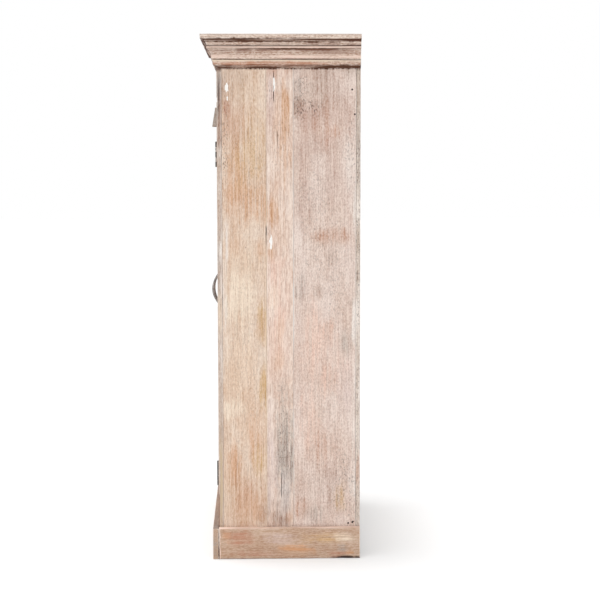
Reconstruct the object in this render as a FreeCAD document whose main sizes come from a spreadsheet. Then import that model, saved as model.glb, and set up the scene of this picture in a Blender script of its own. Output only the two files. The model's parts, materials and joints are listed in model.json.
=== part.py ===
"""Two-door plank cupboard with a moulded cornice, carved stiles and iron hardware.

Millimetres. +Z is up, the doors face -Y, and the origin is on the floor under the middle of the
cupboard's outer box.
"""
import FreeCAD, Part
import math
import os
from types import SimpleNamespace

import Sketcher

# Driving dimensions, in millimetres
SIZES = {
    # overall
    "total_height": 1800,
    "body_width": 890,
    "body_depth": 490,
    "top_overhang": 53,
    "cut_overrun": 5,
    # boards of the case
    "side_thickness": 20,
    "frame_thickness": 17,
    "back_thickness": 15,
    "top_thickness": 16,
    "board_chamfer": 1.2,
    "front_plank_width": 151,
    "middle_plank_width": 92.5,
    "back_bottom": 60,
    "top_front_width": 233,
    # face frame
    "stile_width": 70,
    "opening_bottom": 185,
    "frieze_height": 292,
    "bottom_rail_height": 120,
    # carving on the stiles
    "neck_rise": 90,
    "neck_width": 17,
    "neck_depth": 3.4,
    "rosette_rise": 133,
    "rosette_depth": 2.2,
    "rosette_ring_radius": 31,
    "rosette_ring_width": 2.4,
    "rosette_eye_radius": 6,
    "rosette_petal_reach": 26,
    "rosette_petal_bow": 4.2,
    "petal_height": 64,
    "petal_top_depth": 3.2,
    "petal_top_bow": 1.5,
    "petal_bottom_depth": 10.6,
    "petal_bottom_bow": 4.3,
    # plinth
    "plinth_height": 110,
    "plinth_thickness": 20.5,
    "plinth_round": 6,
    # cornice mouldings
    "crown_height": 84,
    "bed_height": 28,
    "bed_reach": 12.5,
    # shelves and what carries them
    "shelf_thickness": 18,
    "shelf_setback": 46,
    "shelf_clearance": 1,
    "shelf_round": 5,
    "cleat_setback": 58,
    "cleat_height": 22,
    "cleat_thickness": 20,
    "stop_start": 100,
    "stop_end_gap": 92,
    "stop_height": 10,
    "stop_thickness": 12,
    "stop_gap": 0.5,
    # doors
    "door_thickness": 22,
    "door_gap": 2.5,
    "hinge_gap": 3,
    "door_stile_width": 62,
    "door_top_rail_height": 66,
    "door_lock_rail_height": 78,
    "door_bottom_rail_height": 84,
    "lock_rail_bottom": 700,
    "groove_width": 6.4,
    "groove_depth": 9,
    "tongue_thickness": 6,
    "tongue_length": 7.5,
    "field_border": 34,
    "field_setback": 3,
    # bow handles
    "handle_height": 905.5,
    "handle_span": 116,
    "handle_reach": 30.5,
    "handle_middle_radius": 5.5,
    "handle_quarter_radius": 4.6,
    "handle_end_radius": 3.2,
    "handle_pad_radius": 12,
    "handle_pad_thickness": 3,
    "handle_foot_sink": 0.4,
    # hinges
    "hinge_height": 84,
    "upper_hinge_drop": 93.5,
    "lower_hinge_rise": 100.5,
    "knuckle_radius": 3.1,
    "knuckle_stand_off": 0.3,
    "knuckle_gap": 0.3,
    "leaf_thickness": 1.2,
    "leaf_depth": 15,
    "pin_radius": 1.8,
    "pin_clearance": 0.05,
    "pin_head_height": 1.8,
    # bolt of the left door
    "bolt_radius": 4.5,
    "bolt_length": 118,
    "bolt_clearance": 0.05,
    "bolt_tip_gap": 0.5,
    "bolt_knob_gap": 0.5,
    "bolt_plate_height": 92,
    "bolt_plate_width": 28,
    "bolt_plate_thickness": 1.5,
    "bolt_plate_drop": 18,
    "guide_width": 17,
    "guide_height": 12,
    "guide_depth": 13,
    "guide_bow": 5.5,
    "bolt_knob_radius": 4,
    "bolt_knob_length": 15,
    "keeper_length": 44,
    "keeper_depth": 24,
    "keeper_height": 14,
    "keeper_gap": 0.5,
    "mortise_clearance": 1,
    # magnetic catch of the right door
    "catch_length": 46,
    "catch_height": 13,
    "catch_depth": 15,
    "catch_inset": 22,
    "strike_length": 36,
    "strike_height": 9,
    "strike_thickness": 1.5,
    "catch_gap": 0.3,
}

BLOCK_PETAL_COUNT = 4
ROSETTE_PETAL_COUNT = 8
KNUCKLE_COUNT = 5
SHELF_COUNT = 3
BACK_PLANK_COUNT = 4

# A quarter round rises by this share of its radius above its chord
QUARTER_BOW_SHARE = 1 - math.sqrt(0.5)

# Cornice profiles as shares of reach and height, from the bottom inner corner outwards and up.
# A third number bows the run that ends at the point, as a share of the reach: plus is a swelling,
# minus is a hollow.
CROWN_PROFILE_SHARES = (
    (0.0, 0.0),
    (0.29, 0.0),
    (0.32, 0.10, 0.015),
    (0.55, 0.42, -0.06),
    (0.585, 0.42),
    (0.585, 0.52, 0.035),
    (0.545, 0.52),
    (0.545, 0.55),
    (0.58, 0.55),
    (0.955, 0.80, -0.085),
    (1.0, 0.815),
    (1.0, 0.97),
    (0.985, 1.0),
    (0.0, 1.0),
)
BED_PROFILE_SHARES = (
    (0.0, 0.0),
    (0.12, 0.0),
    (0.64, 0.36, -0.14),
    (0.80, 0.36),
    (1.0, 0.78, 0.07),
    (1.0, 0.95),
    (0.90, 1.0),
    (0.0, 1.0),
)

# Along a bow handle: place from middle to end, as a share of half its span
HANDLE_STATION_SHARES = (-1.0, -0.5, 0.0, 0.5, 1.0)

RIGHT, LEFT = 1, -1
SIDE_NAMES = {RIGHT: "right", LEFT: "left"}

doc = FreeCAD.newDocument("Cupboard")
sheet = doc.addObject("Spreadsheet::Sheet", "Sizes")
for row, (alias, number) in enumerate(SIZES.items(), start=1):
    sheet.set(f"A{row}", alias)
    sheet.set(f"B{row}", str(number))
    sheet.setAlias(f"B{row}", alias)
doc.recompute()


class Size:
    """A length that carries both its number and the sheet expression that it comes from."""

    def __init__(self, number, text):
        self.number = number
        self.text = text

    def __add__(self, other):
        other = as_size(other)
        return Size(self.number + other.number, f"({self.text} + {other.text})")

    def __sub__(self, other):
        other = as_size(other)
        return Size(self.number - other.number, f"({self.text} - {other.text})")

    def __mul__(self, other):
        other = as_size(other)
        return Size(self.number * other.number, f"({self.text} * {other.text})")

    def __truediv__(self, other):
        other = as_size(other)
        return Size(self.number / other.number, f"({self.text} / {other.text})")

    def __neg__(self):
        return self * -1

    __rmul__ = __mul__


def as_size(amount):
    """A share or count as a Size, so that it can join a sum."""
    if isinstance(amount, Size):
        return amount
    return Size(amount, f"({amount})")


size = SimpleNamespace(**{alias: Size(number, f"Sizes.{alias}") for alias, number in SIZES.items()})
ZERO = as_size(0)

# Places that many pieces share
half_width = size.body_width / 2
front_face = (size.top_overhang - size.body_depth) / 2
back_face = (size.top_overhang + size.body_depth) / 2
frame_back = front_face + size.frame_thickness
case_back = back_face - size.back_thickness
case_top = size.total_height - size.top_thickness
inner_half_width = half_width - size.side_thickness
opening_half_width = half_width - size.stile_width
opening_top = case_top - size.frieze_height
opening_height = opening_top - size.opening_bottom

pieces = []


def bind(thing, path, amount):
    """Tie one property of an object to the sheet."""
    thing.setExpression(path, amount.text)


def place(thing, across, along, up):
    """Put an object at a place that follows the sheet."""
    for axis, amount in zip("xyz", (across, along, up)):
        bind(thing, f"Placement.Base.{axis}", amount)


def keep(thing):
    """List an object as a sub-part of the cupboard."""
    pieces.append(thing)
    return thing


def board(label, corner, length, depth, height):
    """A plain sawn board: its low corner, and its size along X, Y and Z."""
    box = doc.addObject("Part::Box", label)
    bind(box, "Length", length)
    bind(box, "Width", depth)
    bind(box, "Height", height)
    place(box, *corner)
    return box


def rod(label, radius, height, across, along, up):
    """An upright round bar, from its foot."""
    bar = doc.addObject("Part::Cylinder", label)
    bind(bar, "Radius", radius)
    bind(bar, "Height", height)
    place(bar, across, along, up)
    return bar


def group(label, members):
    """Identical pieces that share one node, as separate solids."""
    bundle = doc.addObject("Part::Compound", label)
    bundle.Links = members
    return keep(bundle)


def new_body(label, across, along, up):
    body = doc.addObject("PartDesign::Body", label)
    place(body, across, along, up)
    return body


def sketch_on(body, name, role, across=ZERO, up=ZERO, lift=ZERO):
    """A sketch on one of the body's own origin planes, with its own origin shifted."""
    sketch = body.newObject("Sketcher::SketchObject", f"{body.Name}_{name}")
    plane = next(item for item in body.Origin.OriginFeatures if item.Role == role)
    sketch.AttachmentSupport = (plane, [""])
    sketch.MapMode = "FlatFace"
    for axis, amount in zip("xyz", (across, up, lift)):
        bind(sketch, f"AttachmentOffset.Base.{axis}", amount)
    return sketch


def fix(sketch, kind, amount, *where):
    """Add a dimension to a sketch and tie it to the sheet."""
    number = sketch.addConstraint(Sketcher.Constraint(kind, *where, amount.number))
    bind(sketch, f"Constraints[{number}]", amount)


def draw_loop(sketch, points):
    """Draw a closed loop. A point is (across, up) or (across, up, bow): the bow swells the run
    that ends there to the right of the way along it, or hollows it where the bow is negative."""
    spots = [FreeCAD.Vector(point[0].number, point[1].number, 0) for point in points]
    runs = []
    for index, point in enumerate(points):
        start, end = spots[index - 1], spots[index]
        if len(point) == 2:
            run = sketch.addGeometry(Part.LineSegment(start, end), False)
        else:
            chord = end - start
            outward = FreeCAD.Vector(chord.y, -chord.x, 0).normalize()
            crest = (start + end) / 2 + outward * point[2].number
            run = sketch.addGeometry(Part.Arc(start, crest, end), False)
        to_first = sketch.getPoint(run, 1).distanceToPoint(start)
        to_second = sketch.getPoint(run, 2).distanceToPoint(start)
        runs.append((run, 1, 2) if to_first < to_second else (run, 2, 1))
    for index, point in enumerate(points):
        run, _, last = runs[index]
        following, first, _ = runs[(index + 1) % len(points)]
        sketch.addConstraint(Sketcher.Constraint("Coincident", run, last, following, first))
        fix(sketch, "DistanceX", as_size(point[0]), -1, 1, run, last)
        fix(sketch, "DistanceY", as_size(point[1]), -1, 1, run, last)
        if len(point) == 3:
            before = points[index - 1]
            across, up, bow = point[0] - before[0], point[1] - before[1], point[2]
            reach = bow if bow.number > 0 else -bow
            fix(sketch, "Radius", ((across * across + up * up) / 4 + bow * bow) / (reach * 2), run)


def draw_circle(sketch, radius, across=ZERO, up=ZERO):
    spot = FreeCAD.Vector(across.number, up.number, 0)
    ring = sketch.addGeometry(Part.Circle(spot, FreeCAD.Vector(0, 0, 1), radius.number), False)
    fix(sketch, "DistanceX", across, -1, 1, ring, 3)
    fix(sketch, "DistanceY", up, -1, 1, ring, 3)
    fix(sketch, "Radius", radius, ring)


def rectangle(left, bottom, right, top):
    return [(left, bottom), (right, bottom), (right, top), (left, top)]


def mirrored(points):
    """The same outline turned over left to right."""
    return [(-point[0], point[1], *(-bow for bow in point[2:])) for point in points]


def pad(body, sketch, length, way="One side", backwards=False):
    feature = body.newObject("PartDesign::Pad", f"{sketch.Name}_pad")
    feature.Profile = sketch
    feature.SideType = way
    feature.Reversed = backwards
    bind(feature, "Length", length)
    return feature


def pocket(body, sketch, depth=None, backwards=False):
    """Cut a sketch into the body: to a depth, or right through both ways."""
    feature = body.newObject("PartDesign::Pocket", f"{sketch.Name}_pocket")
    feature.Profile = sketch
    feature.Reversed = backwards
    if depth is None:
        feature.SideType = "Symmetric"
        feature.Type = "ThroughAll"
    else:
        bind(feature, "Length", depth)
    return feature


# Side and back planks


def plank(label, corner, width, depth, height):
    """An upright plank whose long edges are eased, so that its joints show as fine grooves."""
    body = new_body(label, *corner)
    ease = size.board_chamfer
    section = sketch_on(body, "section", "XY_Plane")
    draw_loop(section, [
        (ease, ZERO), (width - ease, ZERO), (width, ease), (width, depth - ease),
        (width - ease, depth), (ease, depth), (ZERO, depth - ease), (ZERO, ease),
    ])
    pad(body, section, height)
    return keep(body)


def side_planks(side):
    """Three planks of different widths, from the face frame to the back planks."""
    name = SIDE_NAMES[side]
    left_edge = half_width - size.side_thickness if side == RIGHT else -half_width
    start = frame_back
    middle_start = start + size.front_plank_width
    back_start = middle_start + size.middle_plank_width
    runs = (("front", start, size.front_plank_width),
            ("middle", middle_start, size.middle_plank_width),
            ("back", back_start, case_back - back_start))
    for position, along, width in runs:
        plank(f"{name}_side_{position}_plank", (left_edge, along, ZERO), size.side_thickness, width, case_top)


def back_planks():
    width = size.body_width / BACK_PLANK_COUNT
    for number in range(BACK_PLANK_COUNT):
        corner = (width * number - half_width, case_back, size.back_bottom)
        plank(f"back_plank_{number + 1}", corner, width, size.back_thickness, case_top - size.back_bottom)


# Face frame


def front_stile(side):
    """A stile with a hollow neck across it and a sunk rosette above the neck."""
    left_edge = opening_half_width if side == RIGHT else -half_width
    body = new_body(f"{SIDE_NAMES[side]}_front_stile", left_edge, front_face, ZERO)
    neck = opening_top + size.neck_rise
    neck_top, neck_bottom = neck + size.neck_width / 2, neck - size.neck_width / 2
    profile = sketch_on(body, "profile", "YZ_Plane")
    draw_loop(profile, [
        (ZERO, ZERO), (size.frame_thickness, ZERO), (size.frame_thickness, case_top), (ZERO, case_top),
        (ZERO, neck_top), (ZERO, neck_bottom, size.neck_depth * -1),
    ])
    pad(body, profile, size.stile_width)
    centre = {"across": size.stile_width / 2, "up": opening_top + size.rosette_rise}
    rings = sketch_on(body, "rosette_rings", "XZ_Plane", **centre)
    draw_circle(rings, size.rosette_ring_radius)
    draw_circle(rings, size.rosette_ring_radius - size.rosette_ring_width)
    draw_circle(rings, size.rosette_eye_radius)
    draw_circle(rings, size.rosette_eye_radius - size.rosette_ring_width)
    pocket(body, rings, size.rosette_depth)
    petal = sketch_on(body, "rosette_petal", "XZ_Plane", **centre)
    heel = size.rosette_eye_radius + size.rosette_ring_width
    draw_loop(petal, [
        (ZERO, heel, size.rosette_petal_bow),
        (ZERO, size.rosette_petal_reach, size.rosette_petal_bow),
    ])
    first_petal = pocket(body, petal, size.rosette_depth)
    doc.recompute()
    flower = body.newObject("PartDesign::PolarPattern", f"{body.Name}_rosette")
    flower.Originals = [first_petal]
    flower.Axis = (petal, ["N_Axis"])
    flower.Angle = 360
    flower.Occurrences = ROSETTE_PETAL_COUNT
    body.Tip = flower
    return keep(body)


def scalloped(width, depth, bow):
    """A straight back with a row of round petals along the front."""
    points = [(width, ZERO), (ZERO, ZERO), (ZERO, -depth)]
    for number in range(1, BLOCK_PETAL_COUNT + 1):
        points.append((width * number / BLOCK_PETAL_COUNT, -depth, bow))
    return points


def petal_block(side):
    """A carved skirt of petals that flares downwards."""
    left_edge = opening_half_width if side == RIGHT else -half_width
    body = new_body(f"{SIDE_NAMES[side]}_petal_block", left_edge, front_face, opening_top)
    lower = sketch_on(body, "petal_tips", "XY_Plane")
    draw_loop(lower, scalloped(size.stile_width, size.petal_bottom_depth, size.petal_bottom_bow))
    upper = sketch_on(body, "petal_heels", "XY_Plane", lift=size.petal_height)
    draw_loop(upper, scalloped(size.stile_width, size.petal_top_depth, size.petal_top_bow))
    skirt = body.newObject("PartDesign::AdditiveLoft", f"{body.Name}_skirt")
    skirt.Profile = lower
    skirt.Sections = [upper]
    skirt.Ruled = True
    return keep(body)


def face_frame():
    for side in (RIGHT, LEFT):
        front_stile(side)
        petal_block(side)
    clear_width = opening_half_width * 2
    keep(board("frieze_rail", (-opening_half_width, front_face, opening_top),
               clear_width, size.frame_thickness, size.frieze_height))
    keep(board("bottom_rail", (-opening_half_width, front_face, size.opening_bottom - size.bottom_rail_height),
               clear_width, size.frame_thickness, size.bottom_rail_height))


# Plinth and cornice


def plinth():
    """Three boards round the foot; the front one covers the ends of the other two."""
    thick, high, ease = size.plinth_thickness, size.plinth_height, size.plinth_round
    profile = [(ZERO, high), (ZERO, ZERO), (thick, ZERO), (thick, high - ease),
               (thick - ease, high, ease * QUARTER_BOW_SHARE)]
    front = new_body("plinth_front", ZERO, front_face, ZERO)
    front_section = sketch_on(front, "section", "YZ_Plane")
    draw_loop(front_section, mirrored(profile))
    pad(front, front_section, size.body_width + thick * 2, way="Symmetric")
    keep(front)
    for side in (RIGHT, LEFT):
        body = new_body(f"plinth_{SIDE_NAMES[side]}", half_width * side, front_face, ZERO)
        section = sketch_on(body, "section", "XZ_Plane")
        draw_loop(section, profile if side == RIGHT else mirrored(profile))
        pad(body, section, size.body_depth, backwards=True)
        keep(body)


def moulding(name, shares, reach, height, bottom):
    """One run of cornice moulding on the front and one on each side, mitred at the corners."""
    profile = [(reach * out, height * up, *(reach * bow for bow in bows)) for out, up, *bows in shares]
    corner = reach + size.cut_overrun
    front = new_body(f"{name}_front", ZERO, front_face, bottom)
    section = sketch_on(front, "section", "YZ_Plane")
    draw_loop(section, mirrored(profile))
    pad(front, section, size.body_width + reach * 2, way="Symmetric")
    mitres = sketch_on(front, "mitres", "XY_Plane")
    for side in (RIGHT, LEFT):
        edge, far = half_width * side, (half_width + corner) * side
        draw_loop(mitres, [(edge, ZERO), (far, ZERO), (far, -corner)])
    pocket(front, mitres)
    keep(front)
    for side in (RIGHT, LEFT):
        body = new_body(f"{name}_{SIDE_NAMES[side]}", half_width * side, front_face, bottom)
        section = sketch_on(body, "section", "XZ_Plane", lift=reach)
        draw_loop(section, profile if side == RIGHT else mirrored(profile))
        pad(body, section, size.body_depth + reach, backwards=True)
        mitre = sketch_on(body, "mitre", "XY_Plane")
        draw_loop(mitre, [(ZERO, ZERO), (ZERO, -corner), (corner * side, -corner)])
        pocket(body, mitre)
        keep(body)


def nosed_board(label, place_at, length, depth, thickness, radius):
    """A board across the cupboard with a rounded front edge. place_at is its front bottom middle."""
    body = new_body(label, *place_at)
    bow = radius * QUARTER_BOW_SHARE
    section = sketch_on(body, "section", "YZ_Plane")
    draw_loop(section, [
        (ZERO, radius), (radius, ZERO, bow), (depth, ZERO), (depth, thickness),
        (radius, thickness), (ZERO, thickness - radius, bow),
    ])
    pad(body, section, length, way="Symmetric")
    return keep(body)


def cornice():
    """Mouldings under a deep fascia, and the two top boards that lie between them."""
    crown_bottom = size.total_height - size.crown_height
    moulding("cornice_crown", CROWN_PROFILE_SHARES, size.top_overhang, size.crown_height, crown_bottom)
    moulding("cornice_bed", BED_PROFILE_SHARES, size.bed_reach, size.bed_height, crown_bottom - size.bed_height)
    keep(board("top_front_board", (-half_width, front_face, case_top), size.body_width,
               size.top_front_width, size.top_thickness))
    seam = front_face + size.top_front_width
    keep(board("top_back_board", (-half_width, seam, case_top), size.body_width, back_face - seam,
               size.top_thickness))


# Inside: floor, ceiling, shelves, cleats and door stops


def inside():
    inner_width = inner_half_width * 2
    case_depth = case_back - frame_back
    keep(board("floor_board", (-inner_half_width, frame_back, size.opening_bottom - size.shelf_thickness),
               inner_width, case_depth, size.shelf_thickness))
    keep(board("ceiling_board", (-inner_half_width, frame_back, opening_top),
               inner_width, case_depth, size.shelf_thickness))
    bay = (opening_height - size.shelf_thickness * SHELF_COUNT) / (SHELF_COUNT + 1)
    ledges = [size.opening_bottom - size.shelf_thickness, opening_top]
    front_edge = front_face + size.shelf_setback
    for number, name in enumerate(("lower_shelf", "middle_shelf", "upper_shelf"), start=1):
        bottom = size.opening_bottom + bay * number + size.shelf_thickness * (number - 1)
        nosed_board(name, (ZERO, front_edge, bottom), inner_width - size.shelf_clearance * 2,
                    case_back - front_edge, size.shelf_thickness, size.shelf_round)
        ledges.append(bottom)
    cleats = []
    cleat_front = frame_back + size.cleat_setback
    for ledge in ledges:
        for side in (RIGHT, LEFT):
            left_edge = inner_half_width - size.cleat_thickness if side == RIGHT else -inner_half_width
            corner = (left_edge, cleat_front, ledge - size.cleat_height)
            cleats.append(board("cleat", corner, size.cleat_thickness, case_back - cleat_front, size.cleat_height))
    group("shelf_cleats", cleats)
    stops = []
    along = front_face + size.door_thickness + size.stop_gap
    stop_length = door_outer_edge - size.stop_end_gap - size.stop_start
    for bottom in (size.opening_bottom, opening_top - size.stop_height):
        for side in (RIGHT, LEFT):
            left_edge = size.stop_start if side == RIGHT else -size.stop_start - stop_length
            stops.append(board("stop", (left_edge, along, bottom), stop_length, size.stop_thickness,
                               size.stop_height))
    group("door_stops", stops)


# Doors


door_outer_edge = opening_half_width - size.hinge_gap
door_inner_edge = size.door_gap / 2
door_bottom = size.opening_bottom + size.door_gap
door_height = opening_height - size.door_gap * 2
groove_front = (size.door_thickness - size.groove_width) / 2
groove_back = (size.door_thickness + size.groove_width) / 2
tongue_front = (size.door_thickness - size.tongue_thickness) / 2
panel_half_width = (door_outer_edge - door_inner_edge) / 2 - size.door_stile_width
door_middle = (door_outer_edge + door_inner_edge) / 2


def door_stile(side, name, outer_edge, groove_side):
    """A stile grooved along one edge for the rails' tongues and the panels. Its section is drawn
    from its outer edge towards the groove."""
    body = new_body(f"{SIDE_NAMES[side]}_door_{name}", outer_edge * side, front_face, door_bottom)
    width, thick = size.door_stile_width, size.door_thickness
    bed = width - size.groove_depth
    points = [(ZERO, ZERO), (width, ZERO), (width, groove_front), (bed, groove_front),
              (bed, groove_back), (width, groove_back), (width, thick), (ZERO, thick)]
    section = sketch_on(body, "section", "XY_Plane")
    draw_loop(section, points if groove_side * side > 0 else mirrored(points))
    pad(body, section, door_height)
    return keep(body)


def door_rail(side, name, bottom, height, grooved_below, grooved_above):
    """A rail with a panel groove on its inner edges and a tongue at each end."""
    body = new_body(f"{SIDE_NAMES[side]}_door_{name}", door_middle * side, front_face, bottom)
    thick = size.door_thickness
    points = [(ZERO, height), (ZERO, ZERO)]
    floor_of_groove, roof_of_groove = ZERO, height
    if grooved_below:
        floor_of_groove = size.groove_depth
        points += [(groove_front, ZERO), (groove_front, floor_of_groove),
                   (groove_back, floor_of_groove), (groove_back, ZERO)]
    points += [(thick, ZERO), (thick, height)]
    if grooved_above:
        roof_of_groove = height - size.groove_depth
        points += [(groove_back, height), (groove_back, roof_of_groove),
                   (groove_front, roof_of_groove), (groove_front, height)]
    section = sketch_on(body, "section", "YZ_Plane")
    draw_loop(section, points)
    pad(body, section, panel_half_width * 2, way="Symmetric")
    tongue = sketch_on(body, "tongue", "YZ_Plane")
    draw_loop(tongue, rectangle(tongue_front, floor_of_groove, tongue_front + size.tongue_thickness,
                                roof_of_groove))
    pad(body, tongue, (panel_half_width + size.tongue_length) * 2, way="Symmetric")
    return keep(body)


def door_panel(side, name, bottom, top):
    """A raised panel: a thin edge held in the grooves, and a field that rises in a long bevel."""
    body = new_body(f"{SIDE_NAMES[side]}_door_{name}", door_middle * side, front_face + tongue_front, bottom)
    high = top - bottom
    edge = size.tongue_length
    sheet_sketch = sketch_on(body, "sheet", "XZ_Plane")
    draw_loop(sheet_sketch, rectangle(-panel_half_width - edge, -edge, panel_half_width + edge, high + edge))
    pad(body, sheet_sketch, size.tongue_thickness, backwards=True)
    foot = sketch_on(body, "field_foot", "XZ_Plane")
    draw_loop(foot, rectangle(-panel_half_width, ZERO, panel_half_width, high))
    border = size.field_border
    crest = sketch_on(body, "field_crest", "XZ_Plane", lift=tongue_front - size.field_setback)
    draw_loop(crest, rectangle(border - panel_half_width, border, panel_half_width - border, high - border))
    field = body.newObject("PartDesign::AdditiveLoft", f"{body.Name}_field")
    field.Profile = foot
    field.Sections = [crest]
    field.Ruled = True
    return keep(body)


def handle(side):
    """A forged bow, thick in the middle, that runs into a round pad at each end."""
    name = f"{SIDE_NAMES[side]}_handle"
    across = (door_inner_edge + size.door_stile_width / 2) * side
    half_span = size.handle_span / 2
    foot = front_face - size.handle_pad_thickness + size.handle_foot_sink
    rise = size.handle_reach - size.handle_middle_radius - size.handle_pad_thickness
    radii = (size.handle_end_radius, size.handle_quarter_radius, size.handle_middle_radius,
             size.handle_quarter_radius, size.handle_end_radius)
    rings = []
    for station, radius in zip(HANDLE_STATION_SHARES, radii):
        ring = doc.addObject("Part::Circle", f"{name}_ring")
        bind(ring, "Radius", radius)
        place(ring, across, foot - rise * (1 - station * station), size.handle_height + half_span * station)
        slope = rise * (2 * station) / half_span
        ring.setExpression("Placement.Rotation.Angle", f"-atan({slope.text})")
        ring.setExpression("Placement.Rotation.Axis.x", "1")
        ring.setExpression("Placement.Rotation.Axis.z", "0")
        rings.append(ring)
    bow = doc.addObject("Part::Loft", f"{name}_bow")
    bow.Sections = rings
    bow.Solid = True
    members = [bow]
    for end in (LEFT, RIGHT):
        round_pad = rod(f"{name}_pad", size.handle_pad_radius, size.handle_pad_thickness, across, front_face,
                        size.handle_height + half_span * end)
        round_pad.setExpression("Placement.Rotation.Angle", "90")
        round_pad.setExpression("Placement.Rotation.Axis.x", "1")
        round_pad.setExpression("Placement.Rotation.Axis.z", "0")
        members.append(round_pad)
    forged = doc.addObject("Part::MultiFuse", name)
    forged.Shapes = members
    return keep(forged)


def door(side):
    door_stile(side, "hinge_stile", door_outer_edge, LEFT)
    door_stile(side, "meeting_stile", door_inner_edge, RIGHT)
    top_rail_bottom = door_bottom + door_height - size.door_top_rail_height
    lock_rail_top = size.lock_rail_bottom + size.door_lock_rail_height
    door_rail(side, "top_rail", top_rail_bottom, size.door_top_rail_height, True, False)
    door_rail(side, "lock_rail", size.lock_rail_bottom, size.door_lock_rail_height, True, True)
    door_rail(side, "bottom_rail", door_bottom, size.door_bottom_rail_height, False, True)
    door_panel(side, "upper_panel", lock_rail_top, top_rail_bottom)
    door_panel(side, "lower_panel", door_bottom + size.door_bottom_rail_height, size.lock_rail_bottom)
    handle(side)


# Hinges


hinge_across = opening_half_width - size.hinge_gap / 2
hinge_along = front_face - size.knuckle_radius - size.knuckle_stand_off
knuckle_pitch = size.hinge_height / KNUCKLE_COUNT
bore_radius = size.pin_radius + size.pin_clearance


def hinge_leaf(label, side, centre, toward, first, count):
    """One leaf of a butt hinge, drawn about the pin: a plate in the gap between door and stile,
    and every second knuckle. toward is the way from the pin to the wood that the plate lies on."""
    body = new_body(label, hinge_across * side, hinge_along, centre - size.hinge_height / 2)
    outer = size.hinge_gap / 2 * toward
    inner = (size.hinge_gap / 2 - size.leaf_thickness) * toward
    face = size.knuckle_radius + size.knuckle_stand_off
    plate = sketch_on(body, "plate", "XY_Plane")
    draw_loop(plate, rectangle(inner, face, outer, face + size.leaf_depth))
    pad(body, plate, size.hinge_height)
    lift = knuckle_pitch * first + size.knuckle_gap / 2
    web = sketch_on(body, "web", "XY_Plane", lift=lift)
    draw_loop(web, rectangle(inner, bore_radius, outer, face))
    webs = pad(body, web, knuckle_pitch - size.knuckle_gap)
    roll = sketch_on(body, "roll", "XY_Plane", lift=lift)
    draw_circle(roll, size.knuckle_radius)
    rolls = pad(body, roll, knuckle_pitch - size.knuckle_gap)
    doc.recompute()
    row = body.newObject("PartDesign::LinearPattern", f"{body.Name}_knuckles")
    row.Originals = [webs, rolls]
    row.Direction = (roll, ["N_Axis"])
    bind(row, "Length", knuckle_pitch * 2 * (count - 1))
    row.Occurrences = count
    body.Tip = row
    bore = sketch_on(body, "bore", "XY_Plane")
    draw_circle(bore, bore_radius)
    pocket(body, bore)
    return body


def hinge_pin(side, centre):
    """A pin with a low round head at each end, outside the end knuckles."""
    body = new_body(f"{SIDE_NAMES[side]}_pin", hinge_across * side, hinge_along, centre - size.hinge_height / 2)
    long, head = size.hinge_height, size.pin_head_height
    profile = sketch_on(body, "profile", "XZ_Plane")
    head_bow = head * QUARTER_BOW_SHARE / 2
    draw_loop(profile, [
        (ZERO, -head), (size.pin_radius, -head), (size.knuckle_radius, ZERO, head_bow), (size.pin_radius, ZERO),
        (size.pin_radius, long), (size.knuckle_radius, long), (size.pin_radius, long + head, head_bow),
        (ZERO, long + head),
    ])
    turned = body.newObject("PartDesign::Revolution", f"{body.Name}_turned")
    turned.Profile = profile
    turned.ReferenceAxis = (profile, ["V_Axis"])
    turned.Angle = 360
    return body


def hinges():
    centres = (size.opening_bottom + size.lower_hinge_rise, opening_top - size.upper_hinge_drop)
    frame_knuckles = (KNUCKLE_COUNT + 1) // 2
    door_knuckles = KNUCKLE_COUNT // 2
    pins = []
    for side in (RIGHT, LEFT):
        name = SIDE_NAMES[side]
        group(f"{name}_hinge_frame_leaves",
              [hinge_leaf(f"{name}_frame_leaf", side, centre, side, 0, frame_knuckles) for centre in centres])
        group(f"{name}_hinge_door_leaves",
              [hinge_leaf(f"{name}_door_leaf", side, centre, -side, 1, door_knuckles) for centre in centres])
        pins += [hinge_pin(side, centre) for centre in centres]
    group("hinge_pins", pins)


# Bolt of the left door and catch of the right door


door_back = front_face + size.door_thickness
bolt_across = (door_inner_edge + size.door_stile_width / 2) * LEFT
bolt_along = door_back + size.bolt_plate_thickness + size.guide_depth / 2


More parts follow.
